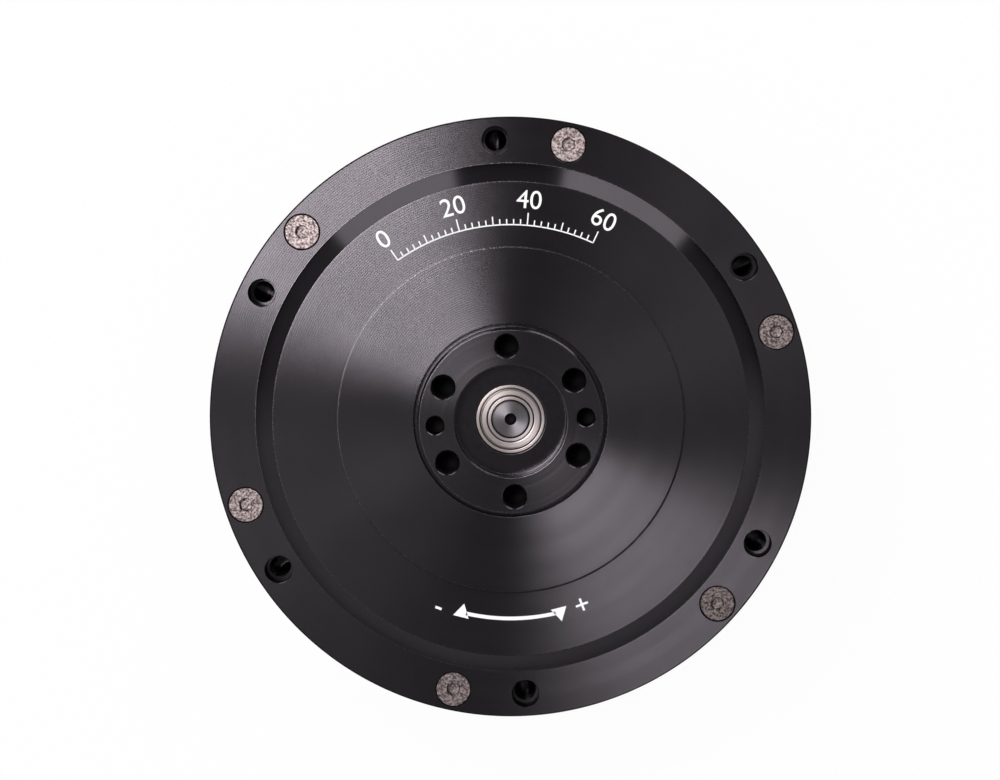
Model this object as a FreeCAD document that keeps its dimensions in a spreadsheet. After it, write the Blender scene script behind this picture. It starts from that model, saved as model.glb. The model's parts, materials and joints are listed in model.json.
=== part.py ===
"""Robot joint actuator: an outer rotor motor, a planetary reduction and a crossed roller output bearing.

Millimetres. The origin is the centre of the flat rear face, and +Z points out of the output side. Every
level is stacked up from the rear face and every radius is worked in from the outside, so a change of one
size carries whatever rests on it along.
"""
import FreeCAD, Part
import math
import os

import Sketcher

SIZES = (
    # Casing, seen from outside
    ("body_dia", 98.0, "outside diameter of the casing"),
    ("edge_chamfer", 0.4, "chamfer on the outer edges"),
    ("rear_floor", 3.0, "floor of the rear cover"),
    ("rear_wall", 5.5, "side wall of the rear cover"),
    ("rim_thickness", 4.5, "clamped rim of the front cover"),
    ("bevel_drop", 2.8, "height of the bevel between rim and face"),
    ("bevel_width", 2.9, "width of the bevel"),
    ("rim_width", 7.5, "flat rim outside the bevel"),
    ("step_width", 12.3, "raised ring round the opening"),
    ("step_height", 1.0, "height of the raised ring"),
    ("opening_gap", 0.6, "gap round the output nose"),
    ("lip_thickness", 2.0, "cover lip over the main bearing"),
    ("fin_groove_depth", 0.8, "cooling grooves round the housing"),
    ("fin_groove_width", 1.4, "width of a cooling groove"),
    ("fin_pitch", 3.0, "spacing of the cooling grooves"),
    ("fin_count", 5, "number of cooling grooves"),
    ("fin_start", 6.0, "from the motor end of the housing to the first groove"),
    ("vane_count", 18, "cooling slots in the rear face"),
    ("vane_width", 2.4, "width of a cooling slot"),
    ("vane_depth", 0.8, "depth of a cooling slot"),
    ("vane_length", 20.0, "length of a cooling slot"),
    ("vane_inset", 12.0, "from the outside to a cooling slot"),
    # Output flange
    ("nose_dia", 30.2, "output nose"),
    ("nose_proud", 2.0, "output nose above the cover face"),
    ("recess_wall", 1.5, "wall between pilot recess and output bores"),
    ("recess_depth", 4.5, "depth of the pilot recess"),
    ("recess_lip", 0.5, "lip over the nose bearing"),
    ("output_inset", 2.9, "from the nose's edge to the middle of an output bore"),
    ("output_bore_dia", 3.4, "M4 thread in the nose"),
    ("output_bore_depth", 7.0, "depth of the M4 threads"),
    ("output_bore_mouth", 0.4, "chamfer at the mouth of a thread"),
    ("dowel_dia", 3.0, "dowel bore in the nose"),
    ("dowel_depth", 5.0, "depth of the dowel bores"),
    ("dowel_mouth", 0.15, "chamfer at the mouth of a dowel bore"),
    ("flange_shoulder", 0.6, "shoulder over the bearing's inner ring"),
    ("shoulder_reach", 1.2, "how far that shoulder reaches over the ring"),
    ("lip_clearance", 0.3, "running gap between shoulder and cover lip"),
    # Bores and screws in the rim
    ("rim_bore_inset", 3.75, "from the outside to the middle of an open rim bore"),
    ("rim_bore_dia", 4.5, "open rim bore"),
    ("rim_thread_dia", 4.0, "M4 thread behind a rim bore"),
    ("rim_thread_depth", 8.0, "depth of that thread in the housing"),
    ("rim_screw_inset", 3.55, "from the outside to the middle of a rim screw"),
    ("rim_count", 6, "rim bores, and rim screws"),
    ("rim_bore_turn", 30.0, "angle of the first rim bore"),
    ("rim_screw_turn", 15.0, "angle of the first rim screw"),
    ("m3_dia", 3.0, "M3 thread"),
    ("m3_head_dia", 5.7, "M3 countersunk head"),
    ("m3_socket", 2.0, "M3 hex socket across flats"),
    ("m3_socket_depth", 1.3, "M3 hex socket depth"),
    ("m3_length", 10.0, "M3 rim screw length"),
    ("screw_clearance", 0.2, "gap round a screw in its hole"),
    ("head_gap", 0.1, "gap round a countersunk head"),
    ("m2_dia", 2.0, "M2 thread"),
    ("m2_head_dia", 3.8, "M2 head"),
    ("m2_length", 4.5, "M2 screw length"),
    ("m2_socket", 1.3, "M2 hex socket across flats"),
    ("rear_screw_inset", 2.5, "from the outside to the middle of a rear screw"),
    ("rear_screw_count", 6, "rear screws"),
    ("rear_screw_dia", 2.5, "M2.5 thread"),
    ("rear_head_dia", 4.4, "M2.5 cap head"),
    ("rear_head_height", 2.3, "M2.5 cap head height"),
    ("rear_head_depth", 2.8, "counterbore for the cap head"),
    ("rear_screw_grip", 6.0, "thread of a rear screw in the housing"),
    ("tip_clearance", 1.0, "thread left free under a screw's tip"),
    # Main housing
    ("housing_wall", 4.1, "wall round the motor"),
    ("gearbox_wall", 11.0, "wall round the ring gear"),
    ("shoulder_width", 2.4, "inner edge under the ring gear"),
    ("web_clearance", 0.9, "gap between rotor web and housing shoulder"),
    ("spigot_gap", 0.02, "fit of the cover in the housing"),
    ("ring_end_gap", 0.1, "gap over the ring gear"),
    ("seal_section", 1.7, "width of the O-ring in its groove"),
    ("seal_depth", 1.2, "depth of the O-ring groove"),
    ("seal_inset", 1.5, "from the housing bore to the O-ring groove"),
    ("seal_gap", 0.1, "room each side of the O-ring"),
    # Motor
    ("base_thickness", 2.5, "plate of the stator base"),
    ("base_spigot", 1.0, "height of the locating edge on the base"),
    ("base_spigot_width", 2.3, "width of the locating edge"),
    ("winding_gap", 0.5, "gap between base plate and coils"),
    ("overhang", 2.8, "end turns beyond the core"),
    ("core_length", 12.0, "length of the stator core"),
    ("tooth_length", 9.6, "stator tooth between back iron and pole shoe"),
    ("core_back", 3.0, "back iron behind the teeth"),
    ("slot_count", 36, "stator teeth and coils"),
    ("tooth_share", 0.5, "part of the tooth pitch that a tooth takes at its foot"),
    ("shoe_height", 1.4, "pole shoe at a tooth's tip"),
    ("shoe_share", 0.84, "part of the tooth pitch that a shoe covers"),
    ("coil_side_gap", 0.25, "half the gap between one coil and the next"),
    ("coil_gap", 0.5, "gap between coil and back iron or shoe"),
    ("insulator", 0.5, "end insulator and slot liner"),
    ("liner_gap", 0.05, "gap between a coil and its tooth's insulator"),
    ("tube_wall", 3.0, "tube that carries the stator"),
    ("air_gap", 0.6, "gap between stator and magnets"),
    ("magnet_thickness", 1.6, "rotor magnets"),
    ("magnet_count", 42, "rotor magnets round the bell"),
    ("magnet_share", 0.92, "part of the pole pitch that a magnet covers"),
    ("magnet_extra", 1.0, "magnet beyond each end of the core"),
    ("bell_wall", 1.2, "wall of the rotor bell"),
    ("bell_clearance", 0.8, "gap between bell and base spigot"),
    ("running_gap", 0.5, "gap between bell and housing"),
    ("web_gap", 0.7, "gap between coils and rotor web"),
    ("web_thickness", 2.0, "web of the rotor bell"),
    ("window_count", 6, "windows in the rotor web"),
    ("window_share", 0.46, "part of the web's width that a window takes"),
    ("lead_dia", 2.2, "phase lead"),
    ("lead_clearance", 0.6, "gap round a lead in the base plate"),
    ("lead_count", 3, "phase leads"),
    # Shaft and its bearings
    ("shaft_dia", 10.0, "sun shaft"),
    ("hub_bearing_dia", 19.0, "hub bearing outside"),
    ("hub_bearing_width", 5.0, "hub bearing width"),
    ("hub_bearing_inset", 0.8, "rear hub bearing above the base's lower face"),
    ("hub_bearing_stop", 0.9, "step between the hub bearings"),
    ("race_share", 0.3, "part of a bearing's height that one ring takes"),
    ("bearing_tube_wall", 2.5, "tube round the hub bearings"),
    ("bearing_tube_drop", 2.0, "bearing tube below the rotor web"),
    ("web_pilot_wall", 1.5, "pilot in the rotor web beyond the shaft"),
    ("hub_flange_width", 4.0, "shaft flange beyond the pilot"),
    ("hub_flange", 1.5, "thickness of the shaft flange"),
    ("web_screw_count", 6, "web screws"),
    ("web_screw_length", 3.4, "web screw length"),
    ("circlip_thickness", 0.7, "shaft circlip"),
    ("circlip_groove", 0.4, "depth of the circlip groove"),
    ("circlip_reach", 1.2, "circlip beyond the shaft"),
    ("circlip_opening", 40.0, "degrees left open in the circlip"),
    ("spacer_wall", 1.0, "spacer tube between the hub bearings"),
    ("journal_dia", 6.0, "shaft nose in the output flange"),
    ("journal_end", 0.3, "shaft nose above its bearing"),
    ("centre_drill_dia", 1.9, "centre drilling in the shaft nose"),
    ("centre_drill_depth", 1.4, "depth of the centre drilling"),
    ("neck_wall", 0.9, "shaft step under the nose bearing"),
    ("nose_bearing_dia", 12.0, "nose bearing outside"),
    ("nose_bearing_width", 4.0, "nose bearing width"),
    ("nose_lip_cover", 0.28, "how far the lip covers the nose bearing"),
    ("shield_thickness", 0.2, "bearing shield"),
    ("shield_inset", 0.1, "shield below the ring's face"),
    ("shield_gap", 0.08, "gap between shield and inner ring"),
    # Planetary gears
    ("pressure_angle", 25.0, "pressure angle"),
    ("sun_teeth", 12, "teeth of the sun gear"),
    ("planet_teeth", 42, "teeth of a planet gear"),
    ("addendum", 1.0, "addendum in modules"),
    ("dedendum", 1.25, "dedendum in modules"),
    ("backlash", 0.1, "play between teeth"),
    ("gear_width", 9.0, "width of a planet gear"),
    ("ring_extra", 0.5, "ring and sun gear beyond the planets, each end"),
    ("ring_wall", 3.525, "ring gear behind its teeth, which leaves a module of 0.7"),
    ("sun_core", 0.3, "shaft blank below the sun's tooth roots"),
    ("key_dia", 2.0, "locking pin of the ring gear"),
    ("key_count", 6, "locking pins"),
    ("planet_pin_dia", 6.0, "planet pin"),
    ("pin_end_gap", 0.2, "planet pin short of the plate's face"),
    ("bush_wall", 1.0, "needle bush in a planet"),
    ("bush_gap", 0.04, "running gap in a needle bush"),
    ("washer_thickness", 0.35, "thrust washer"),
    ("washer_play", 0.05, "play between washer and planet"),
    ("washer_width", 2.6, "width of a thrust washer"),
    # Carrier
    ("carrier_gap", 0.7, "gap between rotor web and carrier"),
    ("rear_plate", 3.0, "rear plate of the carrier"),
    ("front_plate", 2.5, "front plate of the carrier"),
    ("plate_margin", 2.6, "carrier plate beyond the planet pins"),
    ("plate_gap", 0.7, "gap between front plate and clamp ring"),
    ("seat_height", 0.4, "raised seat on the front plate"),
    ("seat_width", 2.5, "that seat under the bearing's inner ring"),
    ("sun_gap", 0.4, "gap between sun gear and front plate"),
    ("shaft_gap", 2.0, "gap between shaft and rear plate"),
    ("post_offset", 1.6, "carrier posts beyond the planets' circle"),
    ("post_gap", 0.75, "gap between a post and the planets"),
    ("post_edge", 0.4, "carrier plate beyond a post"),
    ("post_screw_length", 9.0, "screw in a carrier post"),
    ("flange_screw_inset", 3.5, "from the bearing seat to a flange screw"),
    ("flange_screw_count", 6, "flange screws"),
    ("flange_screw_length", 6.0, "flange screw length"),
    # Main bearing
    ("bearing_overlap", 4.5, "front plate beyond the bearing's bore"),
    ("bearing_section", 8.0, "main bearing from bore to outside"),
    ("bearing_width", 8.0, "width of the main bearing"),
    ("race_gap", 0.6, "gap between its rings"),
    ("roller_dia", 3.9, "crossed roller"),
    ("roller_length", 3.8, "length of a crossed roller"),
    ("roller_gap", 0.08, "gap between roller and race"),
    ("roller_space", 0.25, "room from one roller to the next"),
    ("outer_race_cover", 3.4, "cover lip over the outer ring"),
    ("clamp_thickness", 1.4, "ring that clamps the main bearing"),
    ("clamp_width", 5.0, "clamp ring beyond the bearing"),
    ("clamp_gap", 0.2, "fit of the clamp ring"),
    ("clamp_screw_count", 6, "clamp screws"),
    # Driver board
    ("board_gap", 1.6, "rear floor to board"),
    ("board_thickness", 1.6, "driver board"),
    ("board_edge_gap", 1.0, "board to wall"),
    ("board_room", 4.5, "room above the board"),
    ("pad_thickness", 0.6, "thermal pad"),
    ("mosfet_count", 12, "power transistors"),
    ("mosfet_length", 6.0, "transistor along the radius"),
    ("mosfet_width", 5.0, "transistor across"),
    ("mosfet_inset", 13.5, "from the cover's wall to the transistors"),
    ("standoff_dia", 5.0, "board standoff"),
    ("standoff_inset", 5.5, "from the cover's wall to a standoff"),
    ("standoff_count", 4, "standoffs"),
    ("board_screw_head", 1.2, "head of a board screw"),
    ("board_screw_bite", 1.8, "board screw in the rear floor"),
    ("capacitor_dia", 6.3, "bus capacitor"),
    ("capacitor_room", 0.4, "gap over the capacitors"),
    ("capacitor_inset", 9.5, "from the cover's wall to a capacitor"),
    ("capacitor_count", 6, "bus capacitors"),
    ("chip_height", 0.8, "height of a chip"),
    ("controller_side", 7.0, "side of the controller chip"),
    ("controller_inset", 23.5, "from the cover's wall to the controller chip"),
    ("gate_side", 5.0, "side of a gate driver"),
    ("gate_inset", 20.5, "from the cover's wall to a gate driver"),
    ("gate_count", 3, "gate drivers"),
    ("encoder_side", 4.0, "side of the encoder chip"),
    ("magnet_dia", 6.0, "encoder magnet"),
    ("encoder_magnet", 1.4, "thickness of the encoder magnet"),
    ("encoder_gap", 0.6, "gap between magnet and encoder chip"),
    ("holder_wall", 0.9, "wall of the magnet holder"),
    ("holder_grip", 1.1, "magnet holder over the shaft end"),
    # Sockets in the side of the rear cover
    ("socket_turn", 270.0, "angle of the power socket"),
    ("socket_screw_wall", 2.7, "wall between a small socket and the nearest rear screw"),
    ("power_width", 14.0, "power socket across"),
    ("power_depth", 9.0, "power socket along the radius"),
    ("power_room", 0.2, "gap over the power socket"),
    ("contact_dia", 2.6, "power contact"),
    ("contact_bore", 1.8, "bore of a power contact"),
    ("contact_pitch", 6.0, "spacing of the power contacts"),
    ("contact_back", 2.0, "power socket behind its contacts"),
    ("small_width", 7.0, "small socket across"),
    ("small_depth", 6.0, "small socket along the radius"),
    ("small_height", 3.2, "small socket height"),
    ("small_wall", 0.6, "wall of a small socket"),
    ("socket_inset", 0.3, "sockets behind the cover's outside"),
    ("socket_gap", 0.2, "gap round a socket in its window"),
)

doc = FreeCAD.newDocument("joint_actuator")
sheet = doc.addObject("Spreadsheet::Sheet", "Sizes")
for row, (alias, number, meaning) in enumerate(SIZES, 1):
    sheet.set(f"A{row}", meaning)
    sheet.set(f"B{row}", str(number))
    sheet.setAlias(f"B{row}", alias)
doc.recompute()


class Formula:
    """A size worked out from the sheet, kept as text so that the document works it out again."""

    def __init__(self, text):
        self.text = str(text)

    def __str__(self):
        return self.text

    def __add__(self, other):
        return Formula(f"({self} + {other})")

    def __sub__(self, other):
        return Formula(f"({self} - {other})")

    def __mul__(self, other):
        return Formula(f"({self} * {other})")

    def __truediv__(self, other):
        return Formula(f"({self} / {other})")

    def value(self):
        """The size as a number, for shapes that are made in code and for a sketch's first layout."""
        result = sheet.evalExpression(self.text)
        return float(getattr(result, "Value", result))


class Cells:
    """The sheet's cells by alias, each as a formula."""

    def __getattr__(self, alias):
        return Formula(f"Sizes.{alias}")


size = Cells()
NOTHING = Formula("0")

# Levels, from the rear face up
board_bottom = size.rear_floor + size.board_gap
board_top = board_bottom + size.board_thickness
base_bottom = board_top + size.board_room
base_top = base_bottom + size.base_thickness
coil_bottom = base_top + size.winding_gap
core_bottom = coil_bottom + size.overhang
core_top = core_bottom + size.core_length
coil_top = core_top + size.overhang
web_bottom = coil_top + size.web_gap
web_top = web_bottom + size.web_thickness
carrier_bottom = web_top + size.carrier_gap
rear_plate_top = carrier_bottom + size.rear_plate
washer_room = size.washer_thickness + size.washer_play
planet_bottom = rear_plate_top + washer_room
planet_top = planet_bottom + size.gear_width
front_plate_bottom = planet_top + washer_room
bearing_bottom = front_plate_bottom + size.front_plate
bearing_top = bearing_bottom + size.bearing_width
bearing_middle = bearing_bottom + size.bearing_width / 2
face_top = bearing_top + size.lip_thickness
shelf_top = face_top - size.step_height
rim_top = shelf_top - size.bevel_drop
housing_top = rim_top - size.rim_thickness
nose_top = face_top + size.nose_proud
recess_floor = nose_top - size.recess_depth
nose_bearing_top = recess_floor - size.recess_lip
nose_bearing_bottom = nose_bearing_top - size.nose_bearing_width
shaft_end = nose_bearing_top + size.journal_end
ring_bottom = planet_bottom - size.ring_extra
ring_top = planet_top + size.ring_extra
spigot_bottom = ring_top + size.ring_end_gap
clamp_bottom = bearing_bottom - size.clamp_thickness
shoulder_bottom = web_top + size.web_clearance
rear_bearing_bottom = base_bottom + size.hub_bearing_inset
rear_bearing_top = rear_bearing_bottom + size.hub_bearing_width
tube_top = web_bottom - size.bearing_tube_drop
front_bearing_bottom = tube_top - size.hub_bearing_width
magnet_bottom = board_top + size.chip_height + size.encoder_gap
shaft_bottom = magnet_bottom + size.encoder_magnet
power_height = size.board_room - size.power_room

# Radii, from the outside in
body_r = size.body_dia / 2
motor_bore_r = body_r - size.housing_wall
bell_r = motor_bore_r - size.running_gap
magnet_outer_r = bell_r - size.bell_wall
magnet_inner_r = magnet_outer_r - size.magnet_thickness
core_r = magnet_inner_r - size.air_gap
shoe_r = core_r - size.shoe_height
back_r = shoe_r - size.tooth_length
core_bore_r = back_r - size.core_back
coil_inner_r = back_r + size.coil_gap
coil_outer_r = shoe_r - size.coil_gap
coil_middle_r = (coil_inner_r + coil_outer_r) / 2
tooth_width = back_r * "2 * pi" / size.slot_count * size.tooth_share
ring_outer_r = body_r - size.gearbox_wall
ring_root_r = ring_outer_r - size.ring_wall
ring_teeth = size.sun_teeth + size.planet_teeth * 2
gear_module = ring_root_r / (ring_teeth / 2 + size.dedendum)
centre_distance = gear_module * (size.sun_teeth + size.planet_teeth) / 2
planet_outer_r = gear_module * (size.planet_teeth / 2 + size.addendum)
sun_outer_r = gear_module * (size.sun_teeth / 2 + size.addendum)
sun_root_r = gear_module * (size.sun_teeth / 2 - size.dedendum)
spigot_r = ring_outer_r - size.spigot_gap
pin_r = size.planet_pin_dia / 2
plate_r = centre_distance + pin_r + size.plate_margin
post_circle_r = centre_distance + size.post_offset
bearing_inner_r = plate_r - size.bearing_overlap
bearing_outer_r = bearing_inner_r + size.bearing_section
pitch_r = (bearing_outer_r + bearing_inner_r) / 2
clamp_r = bearing_outer_r + size.clamp_width
clamp_circle_r = bearing_outer_r + size.clamp_width / 2
flange_screw_circle_r = bearing_inner_r - size.flange_screw_inset
nose_r = size.nose_dia / 2
output_circle_r = nose_r - size.output_inset
recess_r = output_circle_r - size.output_bore_dia / 2 - size.recess_wall
opening_r = nose_r + size.opening_gap
step_r = opening_r + size.step_width
foot_r = body_r - size.rim_width
rim_bore_circle_r = body_r - size.rim_bore_inset
rim_screw_circle_r = body_r - size.rim_screw_inset
rear_screw_circle_r = body_r - size.rear_screw_inset
rear_bore_r = body_r - size.rear_wall
standoff_circle_r = rear_bore_r - size.standoff_inset
seal_inner_r = ring_outer_r + size.seal_inset
shaft_r = size.shaft_dia / 2
web_pilot_r = shaft_r + size.web_pilot_wall
hub_flange_r = web_pilot_r + size.hub_flange_width
web_screw_circle_r = (web_pilot_r + hub_flange_r) / 2
hub_bearing_r = size.hub_bearing_dia / 2
journal_r = size.journal_dia / 2
nose_bearing_r = size.nose_bearing_dia / 2
m3_r = size.m3_dia / 2
m2_r = size.m2_dia / 2
bush_outer_r = pin_r + size.bush_gap + size.bush_wall
nose_race = (nose_bearing_r - journal_r) * size.race_share
hub_race = (hub_bearing_r - shaft_r) * size.race_share


def origin_feature(body, role):
    """One of the body's own origin planes or axes."""
    return [item for item in body.Origin.OriginFeatures if item.Role == role][0]


def new_body(label):
    """An empty body that may hold several separate solids of one kind."""
    body = doc.addObject("PartDesign::Body", label)
    body.Label = label
    body.AllowCompound = True
    return body


def polar(radius, angle):
    """A point in the plane from its radius and angle."""
    return FreeCAD.Vector(radius * math.cos(angle), radius * math.sin(angle), 0)


def hold(sketch, point, across, up):
    """Dimension one point of a sketch from the origin, each way by its own formula."""
    for formula, kind, axis in ((across, "DistanceX", -2), (up, "DistanceY", -1)):
        if formula is NOTHING:
            sketch.addConstraint(Sketcher.Constraint("PointOnObject", *point, axis))
            continue
        number = sketch.addConstraint(Sketcher.Constraint(kind, -1, 1, *point, formula.value()))
        sketch.setExpression(f"Constraints[{number}]", str(formula))


def polygon(sketch, corners):
    """A closed outline of straight lines through (across, up) corners."""
    spots = [FreeCAD.Vector(across.value(), up.value(), 0) for across, up in corners]
    first = sketch.GeometryCount
    lines = [Part.LineSegment(spot, spots[(i + 1) % len(spots)]) for i, spot in enumerate(spots)]
    sketch.addGeometry(lines, False)
    sketch.addConstraint([
        Sketcher.Constraint("Coincident", first + i, 2, first + (i + 1) % len(spots), 1)
        for i in range(len(spots))
    ])
    for i, (across, up) in enumerate(corners):
        hold(sketch, (first + i, 1), across, up)


def upright_sketch(body, turn=None):
    """A sketch in the plane of the axis: x is the radius and y the height. turn swings it about the axis."""
    sketch = body.newObject("Sketcher::SketchObject", "section")
    sketch.AttachmentSupport = [(origin_feature(body, "XZ_Plane"), "")]
    sketch.MapMode = "FlatFace"
    if turn is not None:
        swing = FreeCAD.Rotation(FreeCAD.Vector(0, 1, 0), turn.value())
        sketch.AttachmentOffset = FreeCAD.Placement(FreeCAD.Vector(), swing)
        sketch.setExpression("AttachmentOffset.Rotation.Angle", str(turn))
    return sketch


def level_sketch(body, level):
    """A sketch square to the axis, at a level."""
    sketch = body.newObject("Sketcher::SketchObject", "layout")
    sketch.AttachmentSupport = [(origin_feature(body, "XY_Plane"), "")]
    sketch.MapMode = "FlatFace"
    sketch.setExpression("AttachmentOffset.Base.z", str(level))
    return sketch


def revolve(body, sketch, kind="Revolution", axis="V_Axis", angle=None):
    """Turn a sketch about its own vertical axis, or about its first construction line."""
    feature = body.newObject(f"PartDesign::{kind}", "turned")
    feature.Profile = (sketch, [""])
    feature.ReferenceAxis = (sketch, [axis])
    feature.Angle = 360
    if angle is not None:
        feature.Midplane = True
        feature.setExpression("Angle", str(angle))
    body.Tip = feature
    return feature


def repeat(body, features, count):
    """Repeat features evenly round the body's axis."""
    pattern = body.newObject("PartDesign::PolarPattern", "round")
    pattern.Originals = features
    pattern.Axis = (origin_feature(body, "Z_Axis"), [""])
    pattern.Angle = 360
    pattern.setExpression("Occurrences", str(count))
    body.Tip = pattern
    return pattern


def turned(label, *outlines):
    """A body of revolution about the main axis, from one or more (radius, height) outlines."""
    body = new_body(label)
    sketch = upright_sketch(body)
    for outline in outlines:
        polygon(sketch, outline)
    revolve(body, sketch)
    return body


def ring(label, inner, outer, bottom, top):
    """A plain ring."""
    return turned(label, ring_outline(inner, outer, bottom, top))


def ring_outline(inner, outer, bottom, top):
    """The four corners of a ring's section."""
    return [(inner, bottom), (outer, bottom), (outer, top), (inner, top)]


def own_axis_feature(body, kind, circle_r, outline, turn=None):
    """Revolve an outline about an axis of its own, parallel to the main one and circle_r away from it."""
    sketch = upright_sketch(body, turn)
    corners = [(circle_r if across is NOTHING else circle_r + across, up) for across, up in outline]
    polygon(sketch, corners)
    low = outline[0][1]
    high = outline[-1][1]
    spots = [FreeCAD.Vector(circle_r.value(), level.value(), 0) for level in (low, high)]
    line = sketch.addGeometry(Part.LineSegment(*spots), True)
    hold(sketch, (line, 1), circle_r, low)
    hold(sketch, (line, 2), circle_r, high)
    return revolve(body, sketch, kind, "Axis0")


def drill(body, circle_r, outline, count, turn=None):
    """Cut equal round holes of the given half outline, evenly spaced on a circle."""
    hole = own_axis_feature(body, "Groove", circle_r, outline, turn)
    return repeat(body, [hole], count)


def plain_hole(radius, start, end):
    """Half outline of a straight hole or pin between two levels."""
    return [(NOTHING, start), (radius, start), (radius, end), (NOTHING, end)]


def drilled_hole(radius, mouth, top, depth):
    """Half outline of a blind hole down from a face, with a chamfered mouth and a drill point."""
    return [
        (NOTHING, top),
        (radius + mouth, top),
        (radius, top - mouth),
        (radius, top - depth),
        (NOTHING, top - depth - radius / 2),
    ]


def countersunk(face, head_r, shank_r, length, toward):
    """Half outline of a countersunk screw, or of its hole, from its face down (-1) or up (1)."""
    edge = (head_r - shank_r) / 8
    return [
        (NOTHING, face),
        (head_r, face),
        (head_r, face + edge * toward),
        (shank_r, face + (head_r - shank_r + edge) * toward),
        (shank_r, face + length * toward),
        (NOTHING, face + length * toward),
    ]


def hex_cut(body, circle_r, across_flats, bottom, depth):
    """A hex socket cut up from a level, standing on circle_r along the body's X axis."""
    sketch = level_sketch(body, bottom)
    corner_r = across_flats / "sqrt(3)"
    centre = FreeCAD.Vector(circle_r.value(), 0, 0)
    spots = [centre + polar(corner_r.value(), math.radians(60 * i)) for i in range(6)]
    sketch.addGeometry([Part.LineSegment(spots[i], spots[(i + 1) % 6]) for i in range(6)], False)
    circle = sketch.addGeometry(Part.Circle(centre, FreeCAD.Vector(0, 0, 1), corner_r.value()), True)
    hold(sketch, (circle, 3), circle_r, NOTHING)
    sketch.addConstraint([Sketcher.Constraint("Coincident", i, 2, (i + 1) % 6, 1) for i in range(6)])
    sketch.addConstraint([Sketcher.Constraint("PointOnObject", i, 1, circle) for i in range(6)])
    sketch.addConstraint([Sketcher.Constraint("Equal", 0, i) for i in range(1, 5)])
    sketch.addConstraint(Sketcher.Constraint("PointOnObject", 0, 1, -1))
    number = sketch.addConstraint(Sketcher.Constraint("Radius", circle, corner_r.value()))
    sketch.setExpression(f"Constraints[{number}]", str(corner_r))
    socket = body.newObject("PartDesign::Pocket", "socket")
    socket.Profile = sketch
    socket.Reversed = True
    socket.setExpression("Length", str(depth))
    body.Tip = socket
    return socket


def screw_set(label, circle_r, outline, count, turn=None, socket=None):
    """Equal screws or pins on a circle; socket is (across flats, bottom, depth)."""
    body = new_body(label)
    features = [own_axis_feature(body, "Revolution", circle_r, outline)]
    if socket:
        features.append(hex_cut(body, circle_r, *socket))
    repeat(body, features, count)
    if turn is not None:
        body.setExpression("Placement.Rotation.Angle", str(turn))
    return body


def rectangle(sketch, near, far, half_width):
    """A rectangle from near to far along x, even about the x axis."""
    spots = [
        FreeCAD.Vector(near.value(), half_width.value(), 0),
        FreeCAD.Vector(far.value(), half_width.value(), 0),
        FreeCAD.Vector(far.value(), -half_width.value(), 0),
        FreeCAD.Vector(near.value(), -half_width.value(), 0),
    ]
    first = sketch.GeometryCount
    sketch.addGeometry([Part.LineSegment(spots[i], spots[(i + 1) % 4]) for i in range(4)], False)
    sketch.addConstraint([
        Sketcher.Constraint("Coincident", first + i, 2, first + (i + 1) % 4, 1) for i in range(4)
    ])
    hold(sketch, (first, 1), near, half_width)
    hold(sketch, (first + 1, 1), far, half_width)
    sketch.addConstraint(Sketcher.Constraint("Symmetric", first, 1, first + 3, 1, -1))
    sketch.addConstraint(Sketcher.Constraint("Symmetric", first + 1, 1, first + 2, 1, -1))


def slab(body, kind, near, far, half_width, bottom, height):
    """Pad, or pocket upwards, a rectangle that reaches from near to far along the body's X axis."""
    sketch = level_sketch(body, bottom)
    rectangle(sketch, near, far, half_width)
    feature = body.newObject(f"PartDesign::{kind}", "slab")
    feature.Profile = sketch
    feature.setExpression("Length", str(height))
    if kind == "Pocket":
        feature.Reversed = True
    body.Tip = feature
    return feature


def slab_set(label, circle_r, length, width, bottom, height, count=None, turn=None):
    """Equal flat blocks, middle on a circle and evenly spaced, or one block alone."""
    body = new_body(label)
    block = slab(body, "Pad", circle_r - length / 2, circle_r + length / 2, width / 2, bottom, height)
    if count is not None:
        repeat(body, [block], count)
    if turn is not None:
        body.setExpression("Placement.Rotation.Angle", str(turn))
    return body


def move(item, across, along=None):
    """Bind where a finished item stands in the plane of the rear face."""
    item.setExpression("Placement.Base.x", str(across))
    if along is not None:
        item.setExpression("Placement.Base.y", str(along))


# Casing


def make_front_cover():
    """Turned cover with the rim, the bevel, two stepped rings, the bearing seat and the opening."""
    relief_top = bearing_top + size.flange_shoulder + size.lip_clearance
    relief_r = bearing_outer_r - size.outer_race_cover
    edge = size.edge_chamfer
    body = turned("front_cover", [
        (opening_r, relief_top),
        (opening_r, face_top - edge / 2),
        (opening_r + edge / 2, face_top),
        (step_r - edge / 2, face_top),
        (step_r, face_top - edge / 2),
        (step_r, shelf_top),
        (foot_r - size.bevel_width, shelf_top),
        (foot_r, rim_top),
        (body_r - edge, rim_top),
        (body_r, rim_top - edge),
        (body_r, housing_top),
        (spigot_r, housing_top),
        (spigot_r, spigot_bottom),
        (clamp_r + size.clamp_gap, spigot_bottom),
        (clamp_r + size.clamp_gap, bearing_bottom),
        (bearing_outer_r, bearing_bottom),
        (bearing_outer_r, bearing_top),
        (relief_r, bearing_top),
        (relief_r, relief_top),
    ])
    rim_bore = plain_hole(size.rim_bore_dia / 2, rim_top, housing_top)
    drill(body, rim_bore_circle_r, rim_bore, size.rim_count, size.rim_bore_turn)
    sunk = countersunk(
        rim_top,
        size.m3_head_dia / 2 + size.head_gap,
        m3_r + size.screw_clearance,
        size.rim_thickness,
        -1,
    )
    drill(body, rim_screw_circle_r, sunk, size.rim_count, size.rim_screw_turn)
    clamp_thread = plain_hole(m2_r, bearing_bottom, bearing_bottom + size.m2_length)
    drill(body, clamp_circle_r, clamp_thread, size.clamp_screw_count)
    return body


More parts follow.
